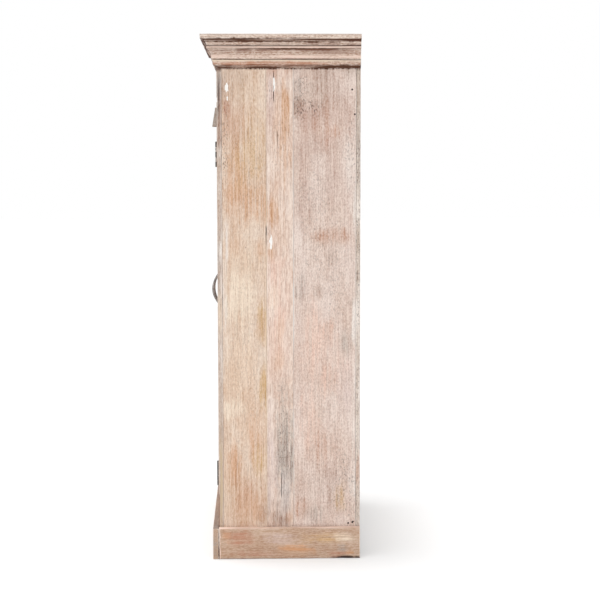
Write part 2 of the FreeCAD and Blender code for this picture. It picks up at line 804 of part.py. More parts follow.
def bolt():
    """A sliding bolt on the back of the left door: a plate with two bored guides, the round rod
    with its knob, and a mortised keeper block under the ceiling board."""
    plate_top = door_bottom + door_height - size.bolt_plate_drop
    plate_bottom = plate_top - size.bolt_plate_height
    body = new_body("bolt_plate", bolt_across, door_back, plate_bottom)
    flat = sketch_on(body, "flat", "XZ_Plane")
    half_plate = size.bolt_plate_width / 2
    draw_loop(flat, rectangle(-half_plate, ZERO, half_plate, size.bolt_plate_height))
    pad(body, flat, size.bolt_plate_thickness, backwards=True)
    half_guide = size.guide_width / 2
    guide_back = size.bolt_plate_thickness + size.guide_depth
    for name, lift in (("lower_guide", ZERO), ("upper_guide", size.bolt_plate_height - size.guide_height)):
        guide = sketch_on(body, name, "XY_Plane", lift=lift)
        draw_loop(guide, [
            (-half_guide, size.bolt_plate_thickness), (half_guide, size.bolt_plate_thickness),
            (half_guide, guide_back - size.guide_bow),
            (-half_guide, guide_back - size.guide_bow, size.guide_bow),
        ])
        pad(body, guide, size.guide_height)
    bore = sketch_on(body, "bore", "XY_Plane")
    bore_depth = size.bolt_plate_thickness + size.guide_depth / 2
    draw_circle(bore, size.bolt_radius + size.bolt_clearance, ZERO, bore_depth)
    pocket(body, bore)
    keep(body)

    keeper_bottom = opening_top - size.keeper_height
    rod_top = keeper_bottom - size.bolt_tip_gap
    bar = rod("bolt_bar", size.bolt_radius, size.bolt_length,
              bolt_across, bolt_along, rod_top - size.bolt_length)
    knob_height = plate_bottom + size.guide_height + size.bolt_knob_radius + size.bolt_knob_gap
    knob = rod("bolt_knob", size.bolt_knob_radius, size.bolt_knob_length,
               bolt_across, bolt_along, knob_height)
    knob.setExpression("Placement.Rotation.Angle", "-90")
    knob.setExpression("Placement.Rotation.Axis.x", "1")
    knob.setExpression("Placement.Rotation.Axis.z", "0")
    joined = doc.addObject("Part::Fuse", "bolt_rod")
    joined.Base = bar
    joined.Tool = knob
    keep(joined)

    blank = board("keeper_blank",
                  (bolt_across - size.keeper_length / 2, door_back + size.keeper_gap, keeper_bottom),
                  size.keeper_length, size.keeper_depth, size.keeper_height)
    mortise_half = size.bolt_radius + size.mortise_clearance
    mortise = board("keeper_mortise",
                    (bolt_across - mortise_half, bolt_along - mortise_half, keeper_bottom - size.cut_overrun),
                    mortise_half * 2, mortise_half * 2, size.keeper_height + size.cut_overrun * 2)
    cut = doc.addObject("Part::Cut", "bolt_keeper")
    cut.Base = blank
    cut.Tool = mortise
    keep(cut)


def catch():
    """A magnet block under the ceiling board, and the steel plate on the door that meets it."""
    along = door_back + size.strike_thickness + size.catch_gap
    keep(board("magnetic_catch", (size.catch_inset, along, opening_top - size.catch_height),
               size.catch_length, size.catch_depth, size.catch_height))
    centre = size.catch_inset + size.catch_length / 2
    keep(board("catch_strike",
               (centre - size.strike_length / 2, door_back, door_bottom + door_height - size.strike_height),
               size.strike_length, size.strike_thickness, size.strike_height))


def build():
    for side in (RIGHT, LEFT):
        side_planks(side)
    back_planks()
    face_frame()
    plinth()
    cornice()
    inside()
    for side in (RIGHT, LEFT):
        door(side)
    hinges()
    bolt()
    catch()
    doc.recompute()


def check():
    """Stop if any object of the document failed."""
    for thing in doc.Objects:
        if "Invalid" in thing.State or "Error" in thing.State:
            raise RuntimeError(f"{thing.Label} failed: {thing.State}")
    for piece in pieces:
        if piece.Shape.isNull() or not piece.Shape.isValid():
            raise RuntimeError(f"{piece.Label} has no sound shape")


def write():
    os.makedirs("parts", exist_ok=True)
    for piece in pieces:
        piece.Shape.exportStep(f"parts/{piece.Label}.step")
        box = piece.Shape.BoundBox
        print(f"{piece.Label}: {len(piece.Shape.Solids)} solid(s)")
        print(f"  X {box.XMin:.1f} {box.XMax:.1f}  Y {box.YMin:.1f} {box.YMax:.1f}  Z {box.ZMin:.1f} {box.ZMax:.1f}")
    print(len(pieces), "sub-parts")


build()
check()
write()
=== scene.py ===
# %% [markdown]
# A tall plank cupboard, whitewashed and worn, with a moulded cornice, a plinth, carved stiles and
# iron hardware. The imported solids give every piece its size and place. This script only dresses
# them: it wears the edges, lays whitewash over grain, and adds filler, nails and screws. Working in
# the same frame as the solids means that nothing has to be fitted by eye.

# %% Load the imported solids
import json
import math

import bmesh
import bpy
from mathutils import Matrix, Vector, noise
from mathutils.bvhtree import BVHTree


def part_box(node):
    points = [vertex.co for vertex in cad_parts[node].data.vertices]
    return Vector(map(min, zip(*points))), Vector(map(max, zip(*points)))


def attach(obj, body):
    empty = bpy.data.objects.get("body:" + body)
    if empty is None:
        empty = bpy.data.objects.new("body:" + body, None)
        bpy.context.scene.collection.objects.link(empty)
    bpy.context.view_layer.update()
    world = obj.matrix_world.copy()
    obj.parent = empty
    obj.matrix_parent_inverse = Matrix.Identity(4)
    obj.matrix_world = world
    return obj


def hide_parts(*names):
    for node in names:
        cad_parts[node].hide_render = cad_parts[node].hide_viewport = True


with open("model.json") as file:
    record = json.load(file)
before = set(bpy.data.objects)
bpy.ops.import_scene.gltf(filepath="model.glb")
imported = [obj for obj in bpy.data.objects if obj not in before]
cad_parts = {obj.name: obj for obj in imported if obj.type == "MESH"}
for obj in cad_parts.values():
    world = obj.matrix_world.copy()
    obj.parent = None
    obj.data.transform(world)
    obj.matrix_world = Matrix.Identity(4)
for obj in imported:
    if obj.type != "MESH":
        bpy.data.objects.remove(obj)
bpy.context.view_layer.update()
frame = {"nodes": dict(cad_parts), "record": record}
solids = frame["nodes"]
body_of = {name: body for body, names in frame["record"]["behaviour"]["bodies"].items() for name in names}
slot_of = {row["node"]: row["material_slot"] for row in frame["record"]["subparts"]}

# %% [markdown]
# The photograph looks almost square at the cupboard's right side, so the vertical edges stay nearly
# parallel. A long lens at a distance does that. The place and the turns below were solved from
# corners whose real positions are known, which is steadier than nudging a camera by eye.

# %% Camera
CAMERA_PLACE = Vector((5.6917, -0.0869, 1.3797))
CAMERA_YAW, CAMERA_PITCH, CAMERA_ROLL = 0.0288, -0.0911, -0.0012
CAMERA_LENS_MM, SENSOR_MM = 92.136, 36.0


def add_object(name, data):
    """A new object in the scene."""
    made = bpy.data.objects.new(name, data)
    bpy.context.scene.collection.objects.link(made)
    return made


def camera_matrix():
    """Look along -X, turned by the yaw, tilted by the pitch and rolled about the view."""
    flat = math.cos(CAMERA_PITCH)
    forward = Vector((-math.cos(CAMERA_YAW) * flat, math.sin(CAMERA_YAW) * flat, math.sin(CAMERA_PITCH)))
    level = forward.cross(Vector((0, 0, 1))).normalized()
    upright = level.cross(forward)
    right = level * math.cos(CAMERA_ROLL) + upright * math.sin(CAMERA_ROLL)
    up = upright * math.cos(CAMERA_ROLL) - level * math.sin(CAMERA_ROLL)
    turn = Matrix((right, up, -forward)).transposed()
    return Matrix.Translation(CAMERA_PLACE) @ turn.to_4x4()


lens = bpy.data.cameras.new("camera")
lens.lens, lens.sensor_width = CAMERA_LENS_MM, SENSOR_MM
camera = add_object("camera", lens)
camera.matrix_world = camera_matrix()
bpy.context.scene.camera = camera
print("camera at", [round(v, 3) for v in camera.location])

# %% [markdown]
# Nodes are easier to read when each is made in one line, so small helpers come first. They fill or wire
# sockets, add a node, mix two colours, do sums, ease between two values, make soft noise, and read a
# value that a mesh carries. The last ones start a material, and make and place a group.

# %% Node helpers
MIX_COLOUR_A, MIX_COLOUR_B, MIX_COLOUR_RESULT = 6, 7, 2
FLOAT, COLOUR, VECTOR = "NodeSocketFloat", "NodeSocketColor", "NodeSocketVector"


def fill(tree, sockets, values):
    """Give sockets their values, or wire them where the values are sockets too."""
    for key, value in values.items():
        if isinstance(value, bpy.types.NodeSocket):
            tree.links.new(value, sockets[key])
        else:
            sockets[key].default_value = value


def put(tree, kind, values=None, **settings):
    """Add a node with its settings and values."""
    made = tree.nodes.new(kind)
    for key, value in settings.items():
        setattr(made, key, value)
    fill(tree, made.inputs, values or {})
    return made


def mix(tree, amount, first, second):
    """A colour that goes from the first to the second as the amount goes from 0 to 1."""
    values = {0: amount, MIX_COLOUR_A: first, MIX_COLOUR_B: second}
    return put(tree, "ShaderNodeMix", values, data_type="RGBA").outputs[MIX_COLOUR_RESULT]


def sum_of(tree, how, *terms):
    """The result of one sum of numbers or sockets."""
    return put(tree, "ShaderNodeMath", dict(enumerate(terms)), operation=how).outputs[0]


def times(tree, first, second):
    return sum_of(tree, "MULTIPLY", first, second)


def weigh(tree, *parts):
    """The sum of some values, each times its share."""
    total, *others = [times(tree, value, share) for value, share in parts]
    for other in others:
        total = sum_of(tree, "ADD", total, other)
    return total


def vector_sum(tree, how, *terms):
    """The outputs of one sum of vectors."""
    return put(tree, "ShaderNodeVectorMath", dict(enumerate(terms)), operation=how).outputs


def ease(tree, value, low, high):
    """A smooth step from 0 at low to 1 at high. With low above high it falls instead."""
    values = {"Value": value, "From Min": low, "From Max": high}
    return put(tree, "ShaderNodeMapRange", values, interpolation_type="SMOOTHSTEP").outputs["Result"]


def speckle(tree, where, pitch, detail=2.0, rough=0.5):
    """Soft noise. The pitch says how many times it changes in a metre along each axis."""
    spread = vector_sum(tree, "MULTIPLY", where, pitch)[0]
    values = {"Vector": spread, "Scale": 1.0, "Detail": detail, "Roughness": rough}
    return put(tree, "ShaderNodeTexNoise", values).outputs["Fac"]


def carried(tree, name, output="Fac"):
    """A value that the mesh carries."""
    return put(tree, "ShaderNodeAttribute", attribute_name=name).outputs[output]


def paint(red, green, blue):
    """A colour as seen on screen, 0 to 255, turned into the linear values that shaders take."""
    levels = [channel / 255 for channel in (red, green, blue)]
    linear = [v / 12.92 if v <= 0.04045 else ((v + 0.055) / 1.055) ** 2.4 for v in levels]
    return (*linear, 1.0)


def new_material(name):
    """A material and its node tree."""
    material = bpy.data.materials.new(name)
    material.use_nodes = True
    return material, material.node_tree


def new_group(name, inputs, outputs, kind="ShaderNodeTree"):
    """An empty group with named sockets: its tree, what it is given, and what it puts out."""
    tree = bpy.data.node_groups.new(name, kind)
    for in_out, sockets in (("INPUT", inputs), ("OUTPUT", outputs)):
        for label, socket_kind in sockets.items():
            tree.interface.new_socket(label, in_out=in_out, socket_type=socket_kind)
    return tree, tree.nodes.new("NodeGroupInput").outputs, tree.nodes.new("NodeGroupOutput").inputs


def use_group(tree, group, values):
    """Place a shader group with its own values."""
    return put(tree, "ShaderNodeGroup", values, node_tree=group).outputs


print("a middle grey in linear values:", [round(v, 3) for v in paint(128, 128, 128)])

# %% [markdown]
# The photograph has a white ground and very soft light, with a faint shadow behind the foot. An even
# white sky gives each colour about as it is written. A soft lamp almost overhead, a little to the front,
# adds some shape and throws a short shadow back, and a wide one from the camera's side fills the boards.
# The floor shows white to the camera and still takes part of the shadow.

# %% Light and floor
SKY_STRENGTH = 0.53
LAMPS = {
    "key": {"from": (-0.12, -0.5, 5.0), "strength": 1.8, "spread": 15},
    "fill": {"from": (5.0, -0.6, 1.6), "strength": 0.95, "spread": 110},
}
FLOOR_HALF_WIDTH = 30.0
FLOOR_WHITE_SHARE, FLOOR_GLOW = 0.42, 0.90
WHITE = (1, 1, 1, 1)

bpy.context.scene.view_settings.view_transform = "Standard"


def seen_ray(tree):
    """1 for rays that should see the plain white ground: from the camera, a gloss or a glass."""
    path = put(tree, "ShaderNodeLightPath").outputs
    either = sum_of(tree, "MAXIMUM", path["Is Camera Ray"], path["Is Glossy Ray"])
    return sum_of(tree, "MAXIMUM", either, path["Is Transmission Ray"])


def make_sky():
    """An even sky that looks white and lights the cupboard less than that."""
    world = bpy.data.worlds.new("studio")
    bpy.context.scene.world = world
    world.use_nodes = True
    tree = world.node_tree
    strength = sum_of(tree, "MULTIPLY_ADD", seen_ray(tree), 1 - SKY_STRENGTH, SKY_STRENGTH)
    fill(tree, tree.nodes["Background"].inputs, {"Color": WHITE, "Strength": strength})


def make_lamp(name, plan):
    """A far lamp, turned to shine from the planned direction."""
    light = bpy.data.lights.new(name, "SUN")
    light.energy, light.angle = plan["strength"], math.radians(plan["spread"])
    add_object(name, light).rotation_euler = Vector(plan["from"]).to_track_quat("Z", "Y").to_euler()


def make_floor():
    """A matt floor with a glow that only looking rays see."""
    material, tree = new_material("floor_white")
    tree.nodes.remove(tree.nodes["Principled BSDF"])
    matt = put(tree, "ShaderNodeBsdfDiffuse", {"Color": WHITE})
    glow = put(tree, "ShaderNodeEmission", {"Color": WHITE, "Strength": FLOOR_GLOW})
    share = times(tree, seen_ray(tree), FLOOR_WHITE_SHARE)
    both = put(tree, "ShaderNodeMixShader", {0: share, 1: matt.outputs[0], 2: glow.outputs[0]})
    fill(tree, tree.nodes["Material Output"].inputs, {"Surface": both.outputs[0]})
    mesh = bpy.data.meshes.new("floor")
    reach = FLOOR_HALF_WIDTH
    mesh.from_pydata([(-reach, -reach, 0), (reach, -reach, 0), (reach, reach, 0), (-reach, reach, 0)],
                     [], [(0, 1, 2, 3)])
    mesh.materials.append(material)
    add_object("floor", mesh)


make_sky()
for name, plan in LAMPS.items():
    make_lamp(name, plan)
make_floor()
print("lamps:", list(LAMPS))

# %% [markdown]
# Whitewash on old wood is a thin, broken coat. Wood shows through it in soft clouds, and the fibres
# catch it as short, fine strokes with dark pores among them. One group makes all that from a vector that
# runs along the grain, so that every board can use it whichever way it lies. Noise at a few sizes is
# enough: broad for the tone of the wood, middling for the coat, and fine for the fibres and pores. A
# finish only sets its own tones, how much of the coat is left, and how long the fibres look.

# %% The whitewashed grain group
# A pitch is for two ways across the grain and one along it. A step is where easing starts and ends.
PATCH_PITCH, STREAK_PITCH, CLOUD_PITCH = (5, 5, 1.4), (34, 34, 1.1), (11, 11, 4.5)
LINE_PITCH, PORE_PITCH, STIPPLE_PITCH = (270, 270, 7), (820, 820, 17), (260, 260, 240)
WARM_STEP, COAT_STEP, STROKE_STEP, PORE_STEP = (0.40, 0.60), (-0.15, 0.15), (0.34, 0.605), (0.54, 0.68)
BARE_AT_NO_COVER, COVER_SHARE = 0.73, 0.46
DRY_ROUGHNESS, FIBRE_SMOOTHING = 0.86, 0.18

washed, given, out = new_group(
    "washed_grain",
    {"Grain": VECTOR, "Place": VECTOR, "Fibre Pitch": VECTOR, "Wood": COLOUR, "Warm": COLOUR, "Wash": COLOUR,
     "Cover": FLOAT},
    {"Color": COLOUR, "Strokes": FLOAT, "Pores": FLOAT, "Roughness": FLOAT})
grain = given["Grain"]
patch = speckle(washed, grain, PATCH_PITCH, detail=3)
streak = speckle(washed, grain, STREAK_PITCH, detail=3)
cloud = speckle(washed, grain, CLOUD_PITCH, detail=5, rough=0.60)
line = speckle(washed, grain, LINE_PITCH)
fibre = speckle(washed, grain, given["Fibre Pitch"], rough=0.55)
pore = speckle(washed, grain, PORE_PITCH, rough=0.6)
stipple = speckle(washed, given["Place"], STIPPLE_PITCH, rough=0.6)
broad = weigh(washed, (patch, 0.5), (streak, 0.5))
toned = mix(washed, ease(washed, broad, *WARM_STEP), given["Wood"], given["Warm"])
thick = weigh(washed, (cloud, 0.75), (fibre, 0.25))
bare = sum_of(washed, "SUBTRACT", BARE_AT_NO_COVER, times(washed, given["Cover"], COVER_SHARE))
left_on = ease(washed, sum_of(washed, "SUBTRACT", thick, bare), *COAT_STEP)
strokes = weigh(washed, (fibre, 0.42), (stipple, 0.20), (line, 0.38))
fill(washed, out, {
    "Color": mix(washed, left_on, toned, given["Wash"]), "Strokes": ease(washed, strokes, *STROKE_STEP),
    "Pores": ease(washed, pore, *PORE_STEP),
    "Roughness": sum_of(washed, "SUBTRACT", DRY_ROUGHNESS, times(washed, fibre, FIBRE_SMOOTHING))})
print("group", washed.name, "nodes:", len(washed.nodes))

# %% [markdown]
# The strokes and pores go on after a board's stains, as fibres do in real wood. A second group does
# that: it pulls the colour towards brown in the hollows between fibres, towards white on their tops, and
# towards dark brown in the pores.

# %% The fibre group
STROKE_SHARE, PORE_SHARE = 0.29, 0.34
HOLLOW_TONE, TOP_TONE, PORE_TONE = paint(158, 114, 88), paint(251, 236, 222), paint(126, 88, 66)

fibred, given, out = new_group(
    "fibre_strokes", {"Color": COLOUR, "Strokes": FLOAT, "Pores": FLOAT, "Contrast": FLOAT},
    {"Color": COLOUR, "Height": FLOAT})
depth = times(fibred, given["Contrast"], STROKE_SHARE)
hollow = mix(fibred, depth, given["Color"], HOLLOW_TONE)
top = mix(fibred, depth, given["Color"], TOP_TONE)
stroked = mix(fibred, given["Strokes"], hollow, top)
pored = mix(fibred, times(fibred, given["Pores"], PORE_SHARE), stroked, PORE_TONE)
fill(fibred, out, {"Color": pored, "Height": sum_of(fibred, "SUBTRACT", given["Strokes"], given["Pores"])})
print("group", fibred.name, "nodes:", len(fibred.nodes))

# %% [markdown]
# Age and shade show in three more ways, whatever the board. Edges rub pale, corners and joints get
# painted shade and dirt in brown, and cut ends are darker because they drink in the coat. Each board
# carries values for these, measured from its shape, and this group turns the values into colour.

# %% The age and painted shade group
RUB_TONE, DIRT_AND_SHADE_TONE, END_TONE = paint(234, 220, 209), paint(92, 64, 50), paint(168, 142, 122)
PATCHY_PITCH, GRIT_PITCH = (38, 38, 20), (180, 180, 120)
END_SHARE, PATCHY_SHARE, GRIT_SHARE = 0.35, 0.9, 0.5
RUB_STEP, DIRT_AND_SHADE_STEP = (1.0, 1.35), (0.30, 0.80)

aged_and_shaded, given, out = new_group(
    "aged_and_shaded_edges",
    {"Color": COLOUR, "Place": VECTOR, "Rubbing": FLOAT, "Dirt And Shade": FLOAT, "Nook Gain": FLOAT},
    {"Color": COLOUR})
patchy = speckle(aged_and_shaded, given["Place"], PATCHY_PITCH, detail=4, rough=0.65)
fine = speckle(aged_and_shaded, given["Place"], GRIT_PITCH, detail=3, rough=0.7)
ended = mix(aged_and_shaded, times(aged_and_shaded, carried(aged_and_shaded, "cut_end"), END_SHARE), given["Color"], END_TONE)
near_edge = sum_of(aged_and_shaded, "ADD", carried(aged_and_shaded, "edge"), times(aged_and_shaded, patchy, PATCHY_SHARE))
rub_here = times(aged_and_shaded, ease(aged_and_shaded, near_edge, *RUB_STEP), given["Rubbing"])
rubbed = mix(aged_and_shaded, rub_here, ended, RUB_TONE)
grit = times(aged_and_shaded, sum_of(aged_and_shaded, "SUBTRACT", fine, 0.5), GRIT_SHARE)
# The nook value darkens corners, joints and cracks in brown: painted shade. The grit adds a little dirt.
in_nook = sum_of(aged_and_shaded, "ADD", times(aged_and_shaded, carried(aged_and_shaded, "nook"), given["Nook Gain"]), grit)
dirt_and_shade_here = times(aged_and_shaded, ease(aged_and_shaded, in_nook, *DIRT_AND_SHADE_STEP), given["Dirt And Shade"])
fill(aged_and_shaded, out, {"Color": mix(aged_and_shaded, dirt_and_shade_here, rubbed, DIRT_AND_SHADE_TONE)})
print("group", aged_and_shaded.name, "nodes:", len(aged_and_shaded.nodes))

# %% [markdown]
# The boards also have single marks: an orange patch where the coat wore off, a grey water stain, a
# dark knot. A soft ellipse with a ragged rim, broken up by the grain, can stand for all of them. The
# group gives its mask, and a second mask of small dark flecks inside the same ellipse.

# %% The stain group
RIM_PITCH, STREAKS_PITCH, FLECK_PITCH = (30, 30, 14), (120, 120, 5), (210, 210, 120)
RIM_STEP, STREAKS_STEP, FLECK_STEP = (1.5, 0.2), (0.32, 0.68), (0.55, 0.66)
RIM_RAGGEDNESS, BROKEN_FLOOR, BROKEN_SHARE = 2.4, 0.35, 1.3

stain, given, out = new_group(
    "stain_mask", {"Place": VECTOR, "Grain": VECTOR, "Centre": VECTOR, "Per Size": VECTOR},
    {"Mask": FLOAT, "Flecks": FLOAT})
off = vector_sum(stain, "SUBTRACT", given["Place"], given["Centre"])[0]
unit = vector_sum(stain, "MULTIPLY", off, given["Per Size"])[0]
far = vector_sum(stain, "LENGTH", unit)["Value"]
rim = sum_of(stain, "SUBTRACT", speckle(stain, given["Place"], RIM_PITCH, detail=5, rough=0.65), 0.5)
inside = ease(stain, sum_of(stain, "ADD", far, times(stain, rim, RIM_RAGGEDNESS)), *RIM_STEP)
streaks = ease(stain, speckle(stain, given["Grain"], STREAKS_PITCH), *STREAKS_STEP)
broken = sum_of(stain, "ADD", BROKEN_FLOOR, times(stain, streaks, BROKEN_SHARE))
fleck = ease(stain, speckle(stain, given["Grain"], FLECK_PITCH), *FLECK_STEP)
fill(stain, out, {"Mask": times(stain, inside, broken), "Flecks": times(stain, inside, fleck)})
print("group", stain.name, "nodes:", len(stain.nodes))

# %% [markdown]
# A finish can have its own list of marks, on the cupboard's right side. A mark is written as (along Y,
# up Z, half width, half height, tone, strength), in millimetres and per cent, and fades within a hand's
# breadth of that side. Marks lie under the fibres. Lines are written in the same way and lie over
# everything, as paint and soot in a joint do, and some are painted shade or painted light.

# %% Tones of the marks
ORANGE = paint(207, 156, 116)
OCHRE = paint(206, 166, 112)
RUST = paint(184, 128, 100)
CREAM = paint(240, 222, 200)
PINK = paint(236, 200, 184)
LILAC = paint(214, 194, 190)
MAUVE = paint(184, 152, 142)
GREY = paint(158, 150, 144)
SLATE = paint(128, 120, 118)
BROWN = paint(134, 98, 82)
CHALK = paint(240, 234, 228)
FROST = paint(222, 222, 224)
SOOT = paint(70, 56, 50)
UMBER = paint(82, 52, 38)
BLUSH = paint(236, 209, 194)
DRAB = paint(150, 130, 118)
STRAW = paint(200, 178, 150)
print("lightest tone of a mark:", [round(v, 2) for v in CHALK[:3]])

# %% Marks on the side planks
# The wide, faint brown, rust and drab marks along the top of each plank, just under the cornice, are painted
# shade; the wide, faint brown ones near the foot make the plank darker towards the bottom.
SIDE_FRONT_MARKS = (
    (-152, 1310, 36, 143, ORANGE, 42), (-115, 1250, 70, 80, ORANGE, 48), (-58, 1218, 32, 68, ORANGE, 42),
    (-103, 1411, 54, 136, OCHRE, 30), (-188, 1553, 10, 27, RUST, 60), (-120, 1607, 48, 61, OCHRE, 12),
    (-147, 899, 58, 82, CREAM, 75), (-65, 823, 17, 82, OCHRE, 55), (-62, 608, 14, 75, OCHRE, 60),
    (-153, 1088, 27, 41, ORANGE, 30), (-71, 1078, 20, 41, ORANGE, 35), (-124, 675, 48, 82, ORANGE, 22),
    (-169, 522, 41, 34, CREAM, 60), (-94, 427, 24, 88, ORANGE, 45), (-163, 315, 20, 82, ORANGE, 55),
    (-73, 336, 24, 54, OCHRE, 45), (-119, 202, 31, 61, RUST, 42), (-67, 159, 27, 41, BROWN, 35),
    (-192, 203, 14, 61, CREAM, 60), (-187, 1088, 10, 75, CHALK, 45), (-195, 899, 8, 136, CHALK, 40),
    (-122, 1081, 3, 4, BROWN, 80), (-107, 172, 42, 64, ORANGE, 60), (-134, 1013, 55, 110, CREAM, 25),
    (-136, 711, 55, 150, CREAM, 25), (-165, 1630, 60, 90, BROWN, 19), (-165, 1500, 55, 80, RUST, 26),
    (-125, 200, 120, 110, ORANGE, 26), (-125, 210, 120, 110, BROWN, 9),
)
SIDE_MIDDLE_MARKS = (
    (12, 1576, 17, 58, ORANGE, 65), (16, 1506, 12, 64, ORANGE, 50), (12, 1377, 24, 136, ORANGE, 28),
    (-35, 1560, 17, 116, LILAC, 65), (-33, 1200, 20, 41, ORANGE, 50), (-33, 1060, 17, 34, ORANGE, 40),
    (-20, 985, 27, 68, PINK, 50), (-27, 899, 20, 54, CREAM, 45), (-3, 844, 20, 41, PINK, 60),
    (-3, 795, 14, 48, ORANGE, 45), (-10, 691, 20, 41, ORANGE, 38), (11, 390, 37, 195, GREY, 56),
    (20, 350, 20, 140, SLATE, 20), (-39, 360, 17, 136, LILAC, 55), (8, 215, 26, 85, FROST, 38),
    (27, 141, 14, 20, ORANGE, 45), (-15, 138, 24, 27, BROWN, 40), (-32, 237, 17, 68, LILAC, 45),
    (-21, 1252, 31, 95, ORANGE, 24), (-20, 1480, 31, 100, ORANGE, 16), (-11, 830, 41, 200, PINK, 28),
    (-24, 344, 12, 120, LILAC, 25), (-5, 1690, 80, 34, RUST, 30), (-5, 160, 80, 110, BROWN, 23),
    (-5, 1155, 50, 90, ORANGE, 15), (-5, 1540, 80, 110, ORANGE, 9),
)
SIDE_BACK_MARKS = (
    (58, 1627, 14, 31, SLATE, 35), (94, 1610, 24, 34, GREY, 12), (63, 1556, 22, 30, BROWN, 45),
    (114, 1549, 24, 28, BROWN, 35), (104, 1522, 41, 48, MAUVE, 50), (169, 1563, 48, 41, MAUVE, 30),
    (192, 1590, 43, 77, MAUVE, 14), (182, 1472, 20, 24, RUST, 55), (152, 1435, 54, 37, MAUVE, 45),
    (84, 1411, 34, 88, MAUVE, 30), (87, 1224, 31, 88, MAUVE, 25), (186, 1309, 48, 75, MAUVE, 25),
    (230, 1360, 20, 102, CHALK, 18), (179, 1115, 75, 30, RUST, 42), (172, 1049, 20, 41, BROWN, 35),
    (66, 943, 20, 61, SLATE, 25), (128, 926, 20, 27, BROWN, 30), (162, 794, 20, 48, RUST, 35),
    (241, 887, 14, 17, BROWN, 60), (221, 746, 24, 48, GREY, 40), (162, 621, 24, 48, RUST, 32),
    (221, 586, 27, 88, LILAC, 45), (138, 383, 46, 75, RUST, 26), (173, 299, 34, 45, MAUVE, 28),
    (204, 217, 18, 45, OCHRE, 42), (69, 173, 34, 36, RUST, 36), (253, 242, 14, 48, CHALK, 60),
    (117, 151, 34, 31, GREY, 30), (111, 777, 41, 136, PINK, 35), (93, 482, 31, 102, PINK, 35),
    (142, 690, 77, 120, PINK, 30), (250, 839, 10, 95, CHALK, 60), (250, 1200, 10, 78, CHALK, 45),
    (250, 447, 10, 220, CHALK, 25), (162, 1630, 45, 90, BROWN, 21), (150, 1690, 160, 30, BROWN, 16),
    (160, 1500, 45, 80, RUST, 21), (235, 1685, 30, 36, DRAB, 28), (140, 250, 120, 75, BROWN, 16),
    (85, 1500, 40, 60, RUST, 10), (53, 1592, 10, 50, BROWN, 28), (137, 1602, 13, 40, BROWN, 24),
)
print("marks on the planks:", len(SIDE_FRONT_MARKS + SIDE_MIDDLE_MARKS + SIDE_BACK_MARKS))

# %% Marks on the plinth, stile and back edge, and lines in the joints
PLINTH_MARKS = (
    (-144, 73, 44, 24, RUST, 55), (-192, 81, 14, 27, ORANGE, 40), (-81, 20, 75, 12, RUST, 45),
    (50, 36, 54, 14, ORANGE, 60), (151, 71, 82, 20, OCHRE, 40), (238, 20, 17, 8, ORANGE, 70),
    (207, 38, 20, 14, GREY, 50), (-5, 72, 61, 17, LILAC, 35), (221, 3, 54, 7, SOOT, 75),
    (221, 74, 41, 17, CREAM, 45), (190, 14, 30, 12, RUST, 55),
)
STILE_MARKS = (
    (-213, 1610, 14, 75, SLATE, 85), (-212, 1545, 12, 24, SOOT, 75), (-206, 1450, 9, 30, BROWN, 45),
    (-205, 1405, 8, 22, CHALK, 45), (-206, 1240, 9, 70, CHALK, 20), (-207, 1060, 8, 40, CHALK, 85),
    (-205, 960, 8, 50, CHALK, 75), (-214, 1000, 6, 120, GREY, 50), (-209, 860, 10, 90, CREAM, 40),
    (-208, 700, 8, 90, CHALK, 30), (-206, 1520, 10, 100, BROWN, 50),
)
STILE_LINES = (
    (-208.5, 250, 5.2, 170, STRAW, 90), (-217.2, 165, 1.6, 75, BROWN, 100), (-210.5, 1605, 3, 70, SOOT, 55),
)
EDGE_MARKS = (
    (265, 1400, 10, 120, GREY, 35), (263, 850, 12, 95, CHALK, 60), (263, 1200, 12, 78, CHALK, 40),
    (264, 305, 8, 50, RUST, 45), (264, 620, 9, 120, CHALK, 40),
)
# The three pale lines are painted light that evens out the shade in the plank joints; the dark two are brown
# in a joint and soot in a crack.
JOINT_LINES = (
    (-50.5, 900, 2, 1000, CREAM, 60), (42, 900, 2, 1000, CHALK, 75), (256, 900, 2, 1000, CHALK, 50),
    (-198.5, 1610, 2.4, 85, BROWN, 80), (-50.6, 1135, 1.5, 20, SOOT, 130),
)
print("marks elsewhere:", len(PLINTH_MARKS + STILE_MARKS + EDGE_MARKS), "joint lines:", len(JOINT_LINES))

# %% Flecks, bands and lines
# A patch of dark pores is written as along, up, half width, half height, strength.
FRONT_FLECKS = (
    (-190, 1450, 12, 160, 45), (-100, 1350, 90, 200, 18), (-120, 700, 90, 550, 14),
)
MIDDLE_FLECKS = (
    (-30, 1620, 30, 50, 40), (0, 1450, 40, 150, 25), (10, 420, 35, 200, 50),
)
BACK_FLECKS = (
    (66, 1630, 34, 34, 70), (66, 1560, 36, 36, 75), (110, 1555, 30, 26, 70), (238, 1400, 22, 150, 40),
    (100, 1250, 70, 200, 25), (170, 1000, 90, 200, 22), (150, 500, 110, 400, 16), (225, 250, 40, 120, 35),
)
EDGE_FLECKS = ((262, 1200, 16, 450, 60), (262, 400, 16, 350, 45))

# Bands of painted shade and dirt in hollows, and of painted highlight and rubbed coat on beads: height, half
# height, tone, strength.
CROWN_BANDS = (
    (1779.4, 6.2, UMBER, 130), (1768, 4.5, BROWN, 35), (1762.4, 2.8, UMBER, 70), (1751, 5.4, UMBER, 75),
    (1757.1, 3, BLUSH, 120), (1744, 7, BROWN, 42), (1736, 8, BROWN, 25), (1726.2, 5.6, BLUSH, 70),
    (1717.4, 3.4, UMBER, 42), (1798.5, 4, DRAB, 45),
)
# The line under the crown's top board is painted shade.
CROWN_LINES = ((190, 1775, 80, 4.5, UMBER, 90),)
